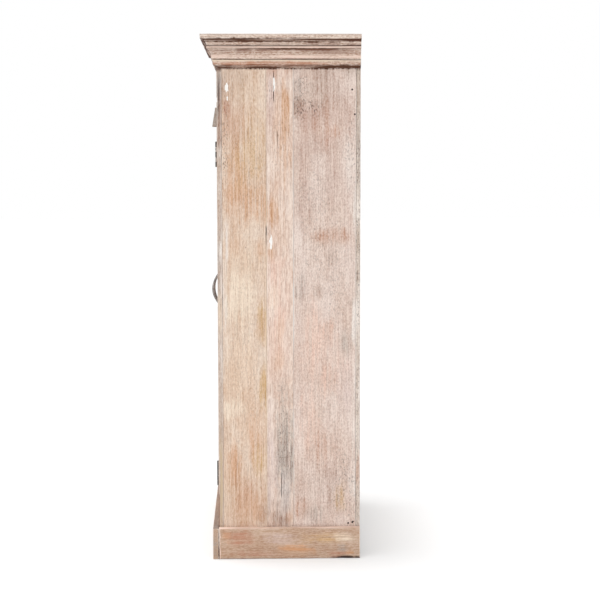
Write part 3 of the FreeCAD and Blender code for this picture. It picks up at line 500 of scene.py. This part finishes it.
# On the bed moulding, the pale band is a painted highlight, and the dark band and dark line are painted shade
# with dirt.
BED_BANDS = ((1713.6, 3.6, CREAM, 75), (1693.2, 6, UMBER, 105))
BED_LINES = ((-40, 1703, 160, 7, RUST, 90), (-10, 1695.5, 160, 6, UMBER, 60))
# On the planks, the dark band just under the cornice is a painted shadow, with some dirt.
PANEL_BANDS = ((1688, 3.8, UMBER, 70),)
# On the plinth sides, the pale band along the top edge is a painted highlight on rubbed coat, and the dark
# band at the foot is a painted shadow.
PLINTH_FRONT_BANDS = ((110.6, 2.8, DRAB, 180),)
PLINTH_BANDS = ((108.6, 2.4, BLUSH, 80), (1, 2.4, UMBER, 60))
PLINTH_LINES = (
    (-217.8, 36, 1.2, 62, UMBER, 180), (-213.2, 60, 1.8, 60, BLUSH, 85), (225, 4, 50, 6, SOOT, 85),
    (-150, 74, 46, 24, RUST, 40), (50, 28, 60, 16, ORANGE, 50),
)
PLINTH_FRONT_LINES = (
    (-230, 55, 10, 60, GREY, 35), (-219, 36, 1.1, 62, UMBER, 160),
)
print("bands on the cornice:", len(CROWN_BANDS + BED_BANDS))

# %% [markdown]
# A finish puts the groups together in the order in which they came about: grain and coat, then its
# marks, fibres and pores, flecks, age with painted shade, bands, and lines last. All of it goes into
# one matt shader with a little relief. One function makes every wood, so the finishes below differ only
# in their values: tones of wood, warm wood and wash, how much coat is left, and the lists of marks.

# %% Wood finishes
# The lists are in millimetres and per cent, and the shader works in metres and shares.
MM, PER_CENT = 1000, 100
SIDE_FACE, MARK_FADE, MARK_GAIN = 0.445, 0.06, 1.5
RELIEF, RELIEF_DEPTH, MATT_SPECULAR = 0.35, 0.0006, 0.2
USUAL_FIBRE = (280, 280, 75)
PLINTH_TONES = (183, 147, 120), (174, 136, 108), (201, 172, 149)


def wood_finish(name, wood, warm, wash, cover, marks=(), bands=(), fibre=USUAL_FIBRE, contrast=1.0,
                flecks=(), lines=(), rubbing=0.7, dirt_and_shade=0.8, nook_gain=1.0):
    """Whitewashed wood with its own tones and marks."""
    material, tree = new_material(name)
    place = put(tree, "ShaderNodeTexCoord").outputs["Object"]
    grain = carried(tree, "grain", "Vector")

    def mask(centre, per_size, output="Mask"):
        return use_group(tree, stain, {"Place": place, "Grain": grain, "Centre": centre,
                                       "Per Size": per_size})[output]

    def spot(along, up, half_width, half_height, output="Mask"):
        centre = (SIDE_FACE, along / MM, up / MM)
        return mask(centre, (1 / MARK_FADE, MM / half_width, MM / half_height), output)

    def lay(under, where, strength, tone):
        return mix(tree, times(tree, where, strength / PER_CENT), under, tone)

    coat = use_group(tree, washed, {
        "Grain": grain, "Place": place, "Fibre Pitch": fibre, "Wood": paint(*wood), "Warm": paint(*warm),
        "Wash": paint(*wash), "Cover": sum_of(tree, "ADD", carried(tree, "tone"), cover)})
    colour = coat["Color"]
    for *where, tone, strength in marks:
        colour = lay(colour, spot(*where), MARK_GAIN * strength, tone)
    fibres = use_group(tree, fibred, {"Color": colour, "Strokes": coat["Strokes"], "Pores": coat["Pores"],
                                      "Contrast": contrast})
    colour = fibres["Color"]
    for *where, strength in flecks:
        colour = lay(colour, spot(*where, "Flecks"), strength, SOOT)
    colour = use_group(tree, aged_and_shaded, {"Color": colour, "Place": place, "Rubbing": rubbing,
                                    "Dirt And Shade": dirt_and_shade, "Nook Gain": nook_gain})["Color"]
    for up, half_height, tone, strength in bands:
        colour = lay(colour, mask((0, 0, up / MM), (0, 0, MM / half_height)), strength, tone)
    for *where, tone, strength in lines:
        colour = lay(colour, spot(*where), strength, tone)
    bump = put(tree, "ShaderNodeBump",
               {"Strength": RELIEF, "Distance": RELIEF_DEPTH, "Height": fibres["Height"]})
    fill(tree, tree.nodes["Principled BSDF"].inputs, {
        "Base Color": colour, "Roughness": coat["Roughness"], "Normal": bump.outputs[0],
        "Specular IOR Level": MATT_SPECULAR})
    return material


finishes = {
    "right_front": wood_finish(
        "right_front_plank_wood", (217, 185, 158), (211, 175, 146), (231, 213, 196), 0.50, SIDE_FRONT_MARKS,
        PANEL_BANDS, flecks=FRONT_FLECKS, lines=JOINT_LINES, rubbing=1.0, nook_gain=0.15),
    "right_middle": wood_finish(
        "right_middle_plank_wood", (226, 196, 179), (221, 189, 171), (236, 219, 208), 0.55, SIDE_MIDDLE_MARKS,
        PANEL_BANDS, (290, 290, 60), 1.25, MIDDLE_FLECKS, JOINT_LINES, rubbing=1.0, nook_gain=0.15),
    "right_back": wood_finish(
        "right_back_plank_wood", (211, 187, 174), (205, 177, 165), (227, 210, 202), 0.55, SIDE_BACK_MARKS,
        PANEL_BANDS, (260, 260, 140), 1.15, BACK_FLECKS, JOINT_LINES, nook_gain=0.35),
    "left": wood_finish(
        "left_plank_wood", (214, 187, 167), (205, 160, 125), (228, 211, 199), 0.46, bands=PANEL_BANDS,
        nook_gain=0.5),
    "stile": wood_finish(
        "face_frame_stile_wood", (180, 160, 145), (172, 146, 128), (209, 196, 185), 0.50, STILE_MARKS,
        lines=STILE_LINES, dirt_and_shade=0.9, rubbing=0.5),
    "frame": wood_finish("face_frame_rail_wood", (200, 170, 148), (194, 152, 122), (226, 210, 198), 0.48),
    "door": wood_finish("door_wood", (210, 180, 155), (203, 158, 124), (230, 212, 198), 0.50),
    "panel": wood_finish("door_panel_wood", (214, 184, 162), (206, 158, 123), (232, 215, 202), 0.54),
    "carved": wood_finish(
        "carved_wood", (120, 108, 99), (102, 88, 79), (152, 142, 134), 0.30, dirt_and_shade=1.0, rubbing=0.1,
        nook_gain=1.6),
    "fascia": wood_finish(
        "cornice_crown_wood", (173, 143, 125), (161, 124, 104), (203, 183, 170), 0.50, bands=CROWN_BANDS,
        fibre=(240, 240, 110), contrast=2.3, lines=CROWN_LINES, nook_gain=1.2),
    "bed": wood_finish(
        "cornice_bed_wood", (167, 124, 102), (157, 113, 93), (196, 162, 141), 0.36, bands=BED_BANDS,
        fibre=(240, 240, 110), contrast=1.9, lines=BED_LINES, nook_gain=1.2),
    "plinth": wood_finish(
        "plinth_wood", *PLINTH_TONES, 0.42, PLINTH_MARKS, PLINTH_BANDS, contrast=0.85, lines=PLINTH_LINES,
        rubbing=0.85, nook_gain=0.8),
    "plinth_front": wood_finish(
        "plinth_front_wood", *PLINTH_TONES, 0.42, bands=PLINTH_FRONT_BANDS, contrast=0.85,
        lines=PLINTH_FRONT_LINES, rubbing=0.6, nook_gain=0.8),
    "back": wood_finish(
        "back_plank_wood", (190, 176, 166), (178, 162, 148), (214, 205, 197), 0.50, EDGE_MARKS,
        fibre=(240, 240, 60), contrast=1.3, flecks=EDGE_FLECKS, nook_gain=0.8),
    "inner": wood_finish("inner_wood", (186, 150, 122), (176, 138, 108), (210, 188, 170), 0.35, rubbing=0.4),
}
print("wood finishes:", len(finishes))

# %% [markdown]
# Iron that was brushed with the same whitewash is dark, a little rough and smeared with pale coat. The
# upper hinge leaves still have most of theirs, and the handles are a brushed grey. Steel of the bolt is
# duller than chrome, and the catch is a brown moulded case. None of these needs more than noise in colour
# and roughness, plus shallow dents, so one function makes them all. White filler uses it too.

# %% Metal, plastic and filler finishes
TARNISH_PITCH, DENT_PITCH = (90, 90, 60), (260, 260, 200)
TARNISH_STEP, SMEAR_STEP, KEPT_STEP = (0.35, 0.68), (0.58, 0.70), (0.28, 0.50)
KEPT_RISE, ROUGH_SPREAD, DENT_DEPTH = 0.1, 0.25, 0.0008
SMEAR_TONE = paint(206, 196, 188)


def metal_finish(name, dark, light, smear, rough, metallic, hammer, coated_above=None):
    """Cloudy colour with smears and dents. Above a given height, most of the coat is left."""
    material, tree = new_material(name)
    place = put(tree, "ShaderNodeTexCoord").outputs["Object"]
    tarnish = speckle(tree, place, TARNISH_PITCH, detail=4, rough=0.65)
    dents = speckle(tree, place, DENT_PITCH)
    colour = mix(tree, ease(tree, tarnish, *TARNISH_STEP), paint(*dark), paint(*light))
    smeared = times(tree, ease(tree, dents, *SMEAR_STEP), smear)
    if coated_above is not None:
        height = put(tree, "ShaderNodeSeparateXYZ", {0: place}).outputs["Z"]
        high_up = ease(tree, height, coated_above, coated_above + KEPT_RISE)
        kept = times(tree, ease(tree, tarnish, *KEPT_STEP), high_up)
        smeared = sum_of(tree, "MAXIMUM", smeared, kept)
    bump = put(tree, "ShaderNodeBump", {"Strength": hammer, "Distance": DENT_DEPTH, "Height": dents})
    fill(tree, tree.nodes["Principled BSDF"].inputs, {
        "Base Color": mix(tree, smeared, colour, SMEAR_TONE), "Metallic": metallic, "Normal": bump.outputs[0],
        "Roughness": sum_of(tree, "ADD", rough, times(tree, tarnish, ROUGH_SPREAD))})
    return material


iron = metal_finish("aged_iron", (54, 48, 45), (100, 92, 86), 0.4, 0.42, 0.75, 0.5)
steel = metal_finish("dull_steel", (128, 124, 118), (164, 160, 154), 0.1, 0.28, 0.95, 0.1)
brown_case = metal_finish("brown_case", (78, 54, 40), (96, 68, 50), 0.05, 0.40, 0.0, 0.1)
rusty_nail = metal_finish("rusty_nail", (40, 31, 27), (66, 46, 36), 0.0, 0.60, 0.2, 0.3)
coated_iron = metal_finish("coated_iron", (38, 32, 29), (70, 62, 56), 0.2, 0.65, 0.10, 0.5, coated_above=0.8)
brushed_iron = metal_finish("brushed_iron", (112, 106, 104), (174, 168, 165), 0.4, 0.50, 0.30, 0.5)
hardware = {"iron": iron, "dull_steel": steel, "catch_plastic": brown_case}
for name, solid in solids.items():
    finish = hardware.get(slot_of[name])
    if name.endswith("hinge_door_leaves"):
        finish = coated_iron
    elif name.endswith("handle"):
        finish = brushed_iron
    if finish:
        solid.data.materials.clear()
        solid.data.materials.append(finish)
print("metal and plastic nodes dressed:", sum(slot_of[name] in hardware for name in solids))

# %% [markdown]
# Boards are painted darker where surfaces close in on each other: painted shade, with some dirt. To
# find such nooks, short rays go out from a point into a search tree of all the solids: the more of them
# hit something near, the deeper the nook. A shader could look for this too, but a value kept on the mesh is
# the same at every pose.

# %% Nooks
NOOK_REACH, NOOK_RAYS = 0.026, 14
NOOK_LIFT, NOOK_LEAN, NOOK_GAIN = 0.0012, 1.05, 1.6


def whole_object_tree():
    """Every solid in one search tree."""
    points, faces = [], []
    for solid in solids.values():
        start = len(points)
        points += [vertex.co.copy() for vertex in solid.data.vertices]
        faces += [[start + index for index in polygon.vertices] for polygon in solid.data.polygons]
    return BVHTree.FromPolygons(points, faces)


def spread_directions(count):
    """Directions spread evenly over a sphere, along a spiral."""
    turn = math.pi * (3 - math.sqrt(5))
    found = []
    for number in range(count):
        height = 1 - 2 * (number + 0.5) / count
        ring = math.sqrt(1 - height * height)
        found.append(Vector((math.cos(turn * number) * ring, math.sin(turn * number) * ring, height)))
    return found


nook_tree = whole_object_tree()
nook_directions = spread_directions(NOOK_RAYS)


def nook_depth(point, normal):
    """0 in the open, towards 1 where near surfaces close the point in."""
    start = point + normal * NOOK_LIFT
    closed = 0.0
    for direction in nook_directions:
        way = (direction + normal * NOOK_LEAN).normalized()
        hit = nook_tree.ray_cast(start, way, NOOK_REACH)
        if hit[0] is not None:
            closed += 1 - hit[3] / NOOK_REACH
    return min(1.0, NOOK_GAIN * closed / NOOK_RAYS)


print("rays for each point:", len(nook_directions))

# %% [markdown]
# New boards have sharp corners, and old ones never do. Each wooden solid is copied, its corners are
# rounded, and it is sliced into a mesh fine enough to ripple and chip. Slices make even faces, which
# subdividing long triangles would not. Planks of the sides fit tightly, so their corners are rounded
# less. Cracks get slices of their own, at their rims, middles and ends.

# %% Rounded and sliced solids
EDGE_ROUND, ROUND_STEPS, ROUND_PROFILE = 0.0014, 2, 0.6
WELD, FLAT_ANGLE, SHARP_ANGLE = 0.00001, 0.01, math.radians(32)
SLICE_ALONG, SLICE_ACROSS, EDGE_BAND = 0.030, 0.010, 0.006
TIGHT_FINISHES, TIGHT_SHARE = ("right_front", "right_middle", "right_back", "left"), 0.18
# A crack is written as along, bottom, top, half width, in metres.
CRACKS = {
    "right_side_front_plank": ((-0.0512, 1.113, 1.156, 0.0016),),
    "right_side_middle_plank": ((-0.0247, 1.590, 1.679, 0.0015), (-0.0007, 0.222, 0.300, 0.0012),
                                (-0.0126, 1.450, 1.471, 0.0011)),
}


def unit_axis(axis):
    """A vector of length 1 along an axis, by its number."""
    return Vector([1.0 if axis == other else 0.0 for other in range(3)])


def slice_places(low, high, step):
    """Evenly spaced cuts, and one near each end to keep the rubbed band narrow."""
    count = max(1, round((high - low) / step))
    places = [low + (high - low) * number / count for number in range(1, count)]
    if high - low > 3 * EDGE_BAND:
        places += [low + EDGE_BAND, high - EDGE_BAND]
    return places


def sliced_solid(name, along, wear, cracks):
    """A copy of a solid with rounded corners, sliced all over and round its cracks."""
    low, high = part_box(name)
    shape = bmesh.new()
    shape.from_mesh(solids[name].data)
    bmesh.ops.remove_doubles(shape, verts=shape.verts, dist=WELD)
    bmesh.ops.dissolve_limit(shape, angle_limit=FLAT_ANGLE, verts=shape.verts, edges=shape.edges)
    sharp = [edge for edge in shape.edges if edge.calc_face_angle(0) > SHARP_ANGLE]
    bmesh.ops.bevel(shape, geom=sharp, offset=EDGE_ROUND * wear, offset_type="OFFSET", segments=ROUND_STEPS,
                    profile=ROUND_PROFILE, affect="EDGES", clamp_overlap=True)
    extra = {1: [side + half * share for side, _, _, half in cracks for share in (-1, 0, 1)],
             2: [place for _, bottom, top, _ in cracks for place in (bottom, top)]}
    for axis in range(3):
        step = SLICE_ALONG if "xyz"[axis] == along else SLICE_ACROSS
        for place in slice_places(low[axis], high[axis], step) + extra.get(axis, []):
            point = Vector(low)
            point[axis] = place
            bmesh.ops.bisect_plane(shape, geom=shape.verts[:] + shape.edges[:] + shape.faces[:], dist=WELD,
                                   plane_co=point, plane_no=unit_axis(axis))
    shape.normal_update()
    return shape


print("boards with cracks:", len(CRACKS))

# %% [markdown]
# While the mesh is open, each point gets the values that the shaders read: its place along the grain,
# whether it is on an edge, how deep it lies in a nook, and the tone of its board. Then it moves: a soft
# ripple everywhere, chips on the edges, and cracks. All movement is inwards, so no board grows.

# %% Wear
GRAIN_ORDER = {"x": (1, 2, 0), "y": (0, 2, 1), "z": (0, 1, 2)}
BOARD_SHIFT, BOARD_TONE, TONE_STEP = Vector((0.37, 0.61, 1.93)), 0.16, 2.4
MATCHED_FINISHES = ("right_front", "right_middle", "right_back", "fascia", "bed", "plinth", "plinth_front")
EDGE_TURN, END_FACING = 0.2, 0.8
RIPPLE_DEPTH, RIPPLE_PITCH = 0.0005, 22
CHIP_DEPTH, CHIP_PITCH, CHIP_START, FINE_CHIP_PITCH, FINE_CHIP_SHARE = 0.0022, 34, 0.18, 120, 0.45
CRACK_DEPTH, CRACK_NOOK = 0.006, 12.0


def sunk_by(point, on_grain, on_edge, shift, wear):
    """How far a point sinks: a ripple, and a chip if it is on an edge."""
    depth = RIPPLE_DEPTH * (noise.noise(on_grain * RIPPLE_PITCH + shift) * 0.5 + 0.5)
    if on_edge:
        chip = noise.noise(point * CHIP_PITCH + shift)
        chip += FINE_CHIP_SHARE * noise.noise(point * FINE_CHIP_PITCH + shift)
        depth += CHIP_DEPTH * wear * max(0.0, chip - CHIP_START)
    return depth


def in_crack(point, cracks):
    """Whether a point is on the right side's face and in the middle of a crack."""
    return point.x > SIDE_FACE - EDGE_BAND and any(
        abs(point.y - side) < half / 2 and bottom < point.z < top for side, bottom, top, half in cracks)


def wear_shape(shape, along, finish, number, wear, cracks):
    """Give each point its values, then move it inwards."""
    grain_layer = shape.verts.layers.float_vector.new("grain")
    edge_layer = shape.verts.layers.float.new("edge")
    nook_layer = shape.verts.layers.float.new("nook")
    tone_layer = shape.verts.layers.float.new("tone")
    end_layer = shape.faces.layers.float.new("cut_end")
    grain_axis = unit_axis("xyz".index(along))
    for face in shape.faces:
        face[end_layer] = 1.0 if abs(face.normal.dot(grain_axis)) > END_FACING else 0.0
    tone = 0.0 if finish in MATCHED_FINISHES else BOARD_TONE * math.sin(TONE_STEP * number)
    shift = BOARD_SHIFT * number
    depths = []
    for vertex in shape.verts:
        point = vertex.co
        on_grain = Vector([point[axis] for axis in GRAIN_ORDER[along]])
        on_edge = max((edge.calc_face_angle(0) for edge in vertex.link_edges), default=0) > EDGE_TURN
        if in_crack(point, cracks):
            nook, depth = CRACK_NOOK, CRACK_DEPTH
        else:
            nook = 0.0 if finish == "inner" else nook_depth(point, vertex.normal)
            depth = sunk_by(point, on_grain, on_edge, shift, wear)
        vertex[grain_layer] = on_grain + shift
        vertex[edge_layer] = float(on_edge)
        vertex[nook_layer] = nook
        vertex[tone_layer] = tone
        depths.append(depth)
    for vertex, depth in zip(shape.verts, depths):
        vertex.co -= vertex.normal * depth


print("finishes that keep one tone:", len(MATCHED_FINISHES))

# %% [markdown]
# Now every wooden solid gets its worn copy, which takes its place and rides on the same body. Its name
# says which way the grain runs and which finish it has, so no board has to be listed by hand.


# %% Worn boards
def board_plan(name):
    """Which way a board's grain runs, and its finish."""
    for place in ("front", "middle", "back"):
        if name == f"right_side_{place}_plank":
            return "z", f"right_{place}"
    if name.startswith("left_side"):
        return "z", "left"
    if name.startswith("back_plank"):
        return "z", "back"
    if name.endswith("petal_block"):
        return "z", "carved"
    if name.endswith("front_stile"):
        return "z", "stile"
    if name in ("frieze_rail", "bottom_rail"):
        return "x", "frame"
    if name.startswith("plinth"):
        return ("x", "plinth_front") if name.endswith("front") else ("y", "plinth")
    if name.startswith(("cornice", "top_")):
        return ("y" if name.endswith(("right", "left")) else "x"), "bed" if "bed" in name else "fascia"
    if "_door_" in name:
        if name.endswith("panel"):
            return "z", "panel"
        return ("x" if name.endswith("rail") else "z"), "door"
    return ("y" if name == "shelf_cleats" else "x"), "inner"


def worn_board(name, along, finish, number):
    """A worn copy of a wooden solid that takes its place."""
    wear = TIGHT_SHARE if finish in TIGHT_FINISHES else 1.0
    cracks = CRACKS.get(name, ())
    shape = sliced_solid(name, along, wear, cracks)
    wear_shape(shape, along, finish, number, wear, cracks)
    mesh = bpy.data.meshes.new(f"worn_{name}")
    shape.to_mesh(mesh)
    shape.free()
    mesh.materials.append(finishes[finish])
    board = add_object(f"worn_{name}", mesh)
    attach(board, body_of[name])
    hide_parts(name)
    return board


wooden = [name for name in sorted(solids) if slot_of[name].endswith("wood")]
boards = {name: worn_board(name, *board_plan(name), number) for number, name in enumerate(wooden, start=1)}
print("worn boards:", len(boards), "faces:", sum(len(board.data.polygons) for board in boards.values()))

# %% [markdown]
# Old dents and gaps in the right side were stopped with white filler, pressed in with a finger. Each dab
# is a low closed dome with an uneven rim, and its lower half lies in the wood. Rings of points shaped by
# noise make such a blob directly.

# %% Dabs of filler
DAB_HEIGHT, DAB_RIM_POINTS, DAB_RINGS, DAB_FOOT = 0.0011, 40, (1.0, 0.8, 0.5), 0.9
DAB_WAVES, DAB_SHIFT = ((0.55, 1.7), (0.40, 4.3)), 1.8
# A dab is written as along, up, half width, half height, in metres.
DABS = (
    (-0.1828, 1.6244, 0.0068, 0.0130), (-0.1815, 1.5880, 0.0026, 0.0066),
    (-0.0347, 1.0997, 0.0052, 0.0210), (-0.0230, 1.6335, 0.0030, 0.0250),
)


def dab_points(number, along, up, half_width, half_height):
    """Rings from the foot in the wood up to the flat top. Noise moves their rims in and out."""
    points = []
    for ring, share in enumerate((DAB_FOOT, *DAB_RINGS)):
        lift = -DAB_HEIGHT if ring == 0 else DAB_HEIGHT * (1 - share * share)
        for step in range(DAB_RIM_POINTS):
            angle = 2 * math.pi * step / DAB_RIM_POINTS
            rim = Vector((math.cos(angle), math.sin(angle), DAB_SHIFT * number))
            reach = share * sum((size * noise.noise(rim * pitch) for size, pitch in DAB_WAVES), 1)
            points.append((SIDE_FACE + lift, along + half_width * reach * math.cos(angle),
                           up + half_height * reach * math.sin(angle)))
    return points


def dab_faces(start):
    """Walls between the rings, a top and a foot, for points that begin at a number."""
    count, faces = DAB_RIM_POINTS, []
    for ring in range(len(DAB_RINGS)):
        here = start + ring * count
        for step in range(count):
            after = (step + 1) % count
            faces.append((here + step, here + after, here + count + after, here + count + step))
    top = start + len(DAB_RINGS) * count
    faces.append(tuple(range(top, top + count)))
    faces.append(tuple(range(start + count - 1, start - 1, -1)))
    return faces


points, faces = [], []
for number, dab in enumerate(DABS):
    faces += dab_faces(len(points))
    points += dab_points(number, *dab)
mesh = bpy.data.meshes.new("filler_dabs")
mesh.from_pydata(points, [], faces)
mesh.materials.append(metal_finish("white_filler", (244, 240, 234), (252, 251, 249), 0.0, 0.70, 0.0, 0.3))
dabs = add_object("filler_dabs", mesh)
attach(dabs, "case")
print("filler faces:", len(mesh.polygons))

# %% [markdown]
# Nails and screws repeat, so a node tree sets them out. A plain mesh holds one point for each, with the
# way it faces. The tree puts a head on every point, turns and sizes it a little at random, and joins the
# heads into one mesh for each moving body. A nail is a low dome. A screw has a slot, cut once before the
# copies are made.

# %% Fastener trees
SCREW_SIDES, SLOT_SIZE, SLOT_RISE = 28, (2.4, 0.30, 1.2), 1.0
NAIL_SEGMENTS, NAIL_RINGS = 14, 8
SMALLEST, LARGEST = (0.82,) * 3, (1.1,) * 3
GEOMETRY = "NodeSocketGeometry"


def fastener_tree(name, slotted):
    """Heads on points, with named inputs and a fixed seed."""
    tree, given, out = new_group(
        name,
        {"Geometry": GEOMETRY, "Radius": FLOAT, "Height": FLOAT, "Seed": "NodeSocketInt",
         "Material": "NodeSocketMaterial"},
        {"Geometry": GEOMETRY}, "GeometryNodeTree")

    def step(kind, values, **settings):
        return put(tree, kind, values, **settings).outputs[0]

    if slotted:
        disc = step("GeometryNodeMeshCylinder", {"Vertices": SCREW_SIDES, "Radius": 1.0, "Depth": 2.0})
        bar = step("GeometryNodeMeshCube", {"Size": SLOT_SIZE})
        raised = step("GeometryNodeTransform", {"Geometry": bar, "Translation": (0, 0, SLOT_RISE)})
        head = step("GeometryNodeMeshBoolean", {"Mesh 1": disc, "Mesh 2": raised}, operation="DIFFERENCE")
    else:
        head = step("GeometryNodeMeshUVSphere",
                    {"Segments": NAIL_SEGMENTS, "Rings": NAIL_RINGS, "Radius": 1.0})
    size = step("ShaderNodeCombineXYZ", {"X": given["Radius"], "Y": given["Radius"], "Z": given["Height"]})
    sized = step("GeometryNodeTransform", {"Geometry": head, "Scale": size})
    facing = step("GeometryNodeInputNamedAttribute", {"Name": "facing"}, data_type="FLOAT_VECTOR")
    upright = step("FunctionNodeAlignRotationToVector", {"Vector": facing}, axis="Z")
    turn = step("FunctionNodeRandomValue", {"Max": (0, 0, 2 * math.pi), "Seed": given["Seed"]},
                data_type="FLOAT_VECTOR")
    spin = step("FunctionNodeEulerToRotation", {"Euler": turn})
    turned = step("FunctionNodeRotateRotation", {"Rotation": upright, "Rotate By": spin},
                  rotation_space="LOCAL")
    grown = step("FunctionNodeRandomValue", {"Min": SMALLEST, "Max": LARGEST, "Seed": given["Seed"]},
                 data_type="FLOAT_VECTOR")
    copies = step("GeometryNodeInstanceOnPoints",
                  {"Points": given["Geometry"], "Instance": sized, "Rotation": turned, "Scale": grown})
    joined = step("GeometryNodeRealizeInstances", {"Geometry": copies})
    dressed = step("GeometryNodeSetMaterial", {"Geometry": joined, "Material": given["Material"]})
    fill(tree, out, {"Geometry": dressed})
    return tree


def set_out(name, places, body, tree, slot, values):
    """Run a tree over the places, keep the result as a plain mesh and let it ride with its body."""
    mesh = bpy.data.meshes.new(f"{name}_points")
    mesh.from_pydata([place for place, _ in places], [], [])
    layer = mesh.attributes.new("facing", "FLOAT_VECTOR", "POINT")
    for number, (_, way) in enumerate(places):
        layer.data[number].vector = way
    holder = add_object(f"{name}_points", mesh)
    modifier = holder.modifiers.new("heads", "NODES")
    modifier.node_group = tree
    for item in tree.interface.items_tree:
        if item.in_out == "INPUT" and item.name in values:
            modifier[item.identifier] = values[item.name]
    seen = holder.evaluated_get(bpy.context.evaluated_depsgraph_get())
    head_mesh = bpy.data.meshes.new_from_object(seen)
    bpy.data.objects.remove(holder)
    heads = add_object(name, head_mesh)
    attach(heads, body)
    return heads


nail_tree = fastener_tree("nail_heads", slotted=False)
screw_tree = fastener_tree("screw_heads", slotted=True)
print("trees:", nail_tree.name, screw_tree.name)

# %% [markdown]
# Each place is a point and the way its head faces. Most come from the boxes of the pieces that the
# fasteners hold, so they stay right if a piece is moved. The nails in the right side are where the
# photograph shows them.

# %% Places of the nails and screws
OUT_RIGHT, OUT_LEFT, OUT_FRONT, OUT_BACK, OUT_DOWN = (1, 0, 0), (-1, 0, 0), (0, -1, 0), (0, 1, 0), (0, 0, -1)
RIGHT_NAILS = ((0.2423, 1.6168), (0.2515, 1.5335), (0.2451, 0.1226), (0.2312, 0.1199), (0.2478, 0.1252))
LEFT_NAILS = ((0.2402, 1.6012), (0.2498, 1.1702), (0.2440, 0.1310), (-0.1304, 0.5074), (-0.0210, 1.1690))
LEVEL_NAMES = ("floor_board", "lower_shelf", "middle_shelf", "upper_shelf", "ceiling_board")
SUNK, BACK_NAIL_INSET = 0.0004, 0.18
PAD_FRONT, PAD_MIDDLE = 0.0030, 0.005
HINGE_HALF, HINGE_SCREW_STEP, LEAF_MIDDLE, LEAF_OFFSET = 0.042, 0.028, 0.0075, 0.0003
CLEAT_THICK, CLEAT_MIDDLE, CLEAT_SHARES = 0.020, 0.011, (0.1, 0.5, 0.9)
DOOR_BACK = -0.1950


def side_nails():
    """Single nails in the two sides, where the lists say."""
    right = [((SIDE_FACE - SUNK, y, z), OUT_RIGHT) for y, z in RIGHT_NAILS]
    return right + [((SUNK - SIDE_FACE, y, z), OUT_LEFT) for y, z in LEFT_NAILS]


def back_nails():
    """Two nails through each back plank into every shelf."""
    levels = [(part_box(name)[0][2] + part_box(name)[1][2]) / 2 for name in LEVEL_NAMES]
    found = []
    for name in sorted(solids):
        if name.startswith("back_plank"):
            low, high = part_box(name)
            inset = BACK_NAIL_INSET * (high[0] - low[0])
            for x in (low[0] + inset, high[0] - inset):
                found += [((x, high[1] - SUNK, z), OUT_BACK) for z in levels]
    return found


def handle_nails(side):
    """One through each pad of a bow handle."""
    low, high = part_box(f"{side}_handle")
    middle = (low[0] + high[0]) / 2
    rises = (low[2] + PAD_MIDDLE, high[2] - PAD_MIDDLE)
    return [((middle, high[1] - PAD_FRONT, z), OUT_FRONT) for z in rises]


def hinge_screws(side, leaf_offset):
    """Three in each leaf of a side's two hinges. Leaves face each other across the pin's line."""
    low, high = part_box(f"{side}_hinge_door_leaves")
    pin_x = (low[0] + high[0]) / 2
    outwards = 1 if pin_x > 0 else -1
    way = OUT_RIGHT if outwards * leaf_offset < 0 else OUT_LEFT
    middles = (high[2] - HINGE_HALF, low[2] + HINGE_HALF)
    rises = [middle + step for middle in middles for step in (-HINGE_SCREW_STEP, 0.0, HINGE_SCREW_STEP)]
    return [((pin_x + outwards * leaf_offset, high[1] - LEAF_MIDDLE, z), way) for z in rises]


def cleat_screws():
    """Three through each cleat into the side planks."""
    low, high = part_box("shelf_cleats")
    face = high[0] - CLEAT_THICK
    rows = [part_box(name)[0][2] - CLEAT_MIDDLE for name in LEVEL_NAMES]
    spots = [low[1] + share * (high[1] - low[1]) for share in CLEAT_SHARES]
    sides = ((face, OUT_LEFT), (-face, OUT_RIGHT))
    return [((x, y, z), way) for x, way in sides for z in rows for y in spots]


BOLT_SCREWS = [((x, DOOR_BACK, z), OUT_BACK) for x in (-0.04175, -0.02275) for z in (1.4015, 1.4495)]
STRIKE_SCREWS = [((x, DOOR_BACK, 1.485), OUT_BACK) for x in (0.033, 0.057)]
KEEPER_SCREWS = [((x, -0.184, 1.478), OUT_DOWN) for x in (-0.049, -0.0155)]


def fastener(tree, slot, radius, height, seed, material):
    """A kind of fastener: its tree, its slot and the values of the tree's inputs."""
    return tree, slot, {"Radius": radius, "Height": height, "Seed": seed, "Material": material}


NAIL = fastener(nail_tree, "iron", 0.0034, 0.0009, 11, rusty_nail)
SCREW = fastener(screw_tree, "dull_steel", 0.0030, 0.0006, 5, steel)
FLUSH_SCREW = fastener(screw_tree, "iron", 0.0030, 0.00013, 3, iron)
SMALL_SCREW = fastener(screw_tree, "dull_steel", 0.0022, 0.0004, 9, steel)
heads = [
    set_out("case_nails", side_nails() + back_nails(), "case", *NAIL),
    set_out("cleat_screws", cleat_screws(), "case", *SCREW),
    set_out("keeper_screws", KEEPER_SCREWS, "case", *SMALL_SCREW),
    set_out("bolt_screws", BOLT_SCREWS, "left_door", *SMALL_SCREW),
    set_out("strike_screws", STRIKE_SCREWS, "right_door", *SMALL_SCREW),
]
for side in ("right", "left"):
    door = f"{side}_door"
    heads += [
        set_out(f"{side}_handle_nails", handle_nails(side), door, *NAIL),
        set_out(f"{side}_hinge_case_screws", hinge_screws(side, LEAF_OFFSET), "case", *FLUSH_SCREW),
        set_out(f"{side}_hinge_door_screws", hinge_screws(side, -LEAF_OFFSET), door, *FLUSH_SCREW),
    ]
print("fastener meshes:", len(heads), "faces:", sum(len(each.data.polygons) for each in heads))
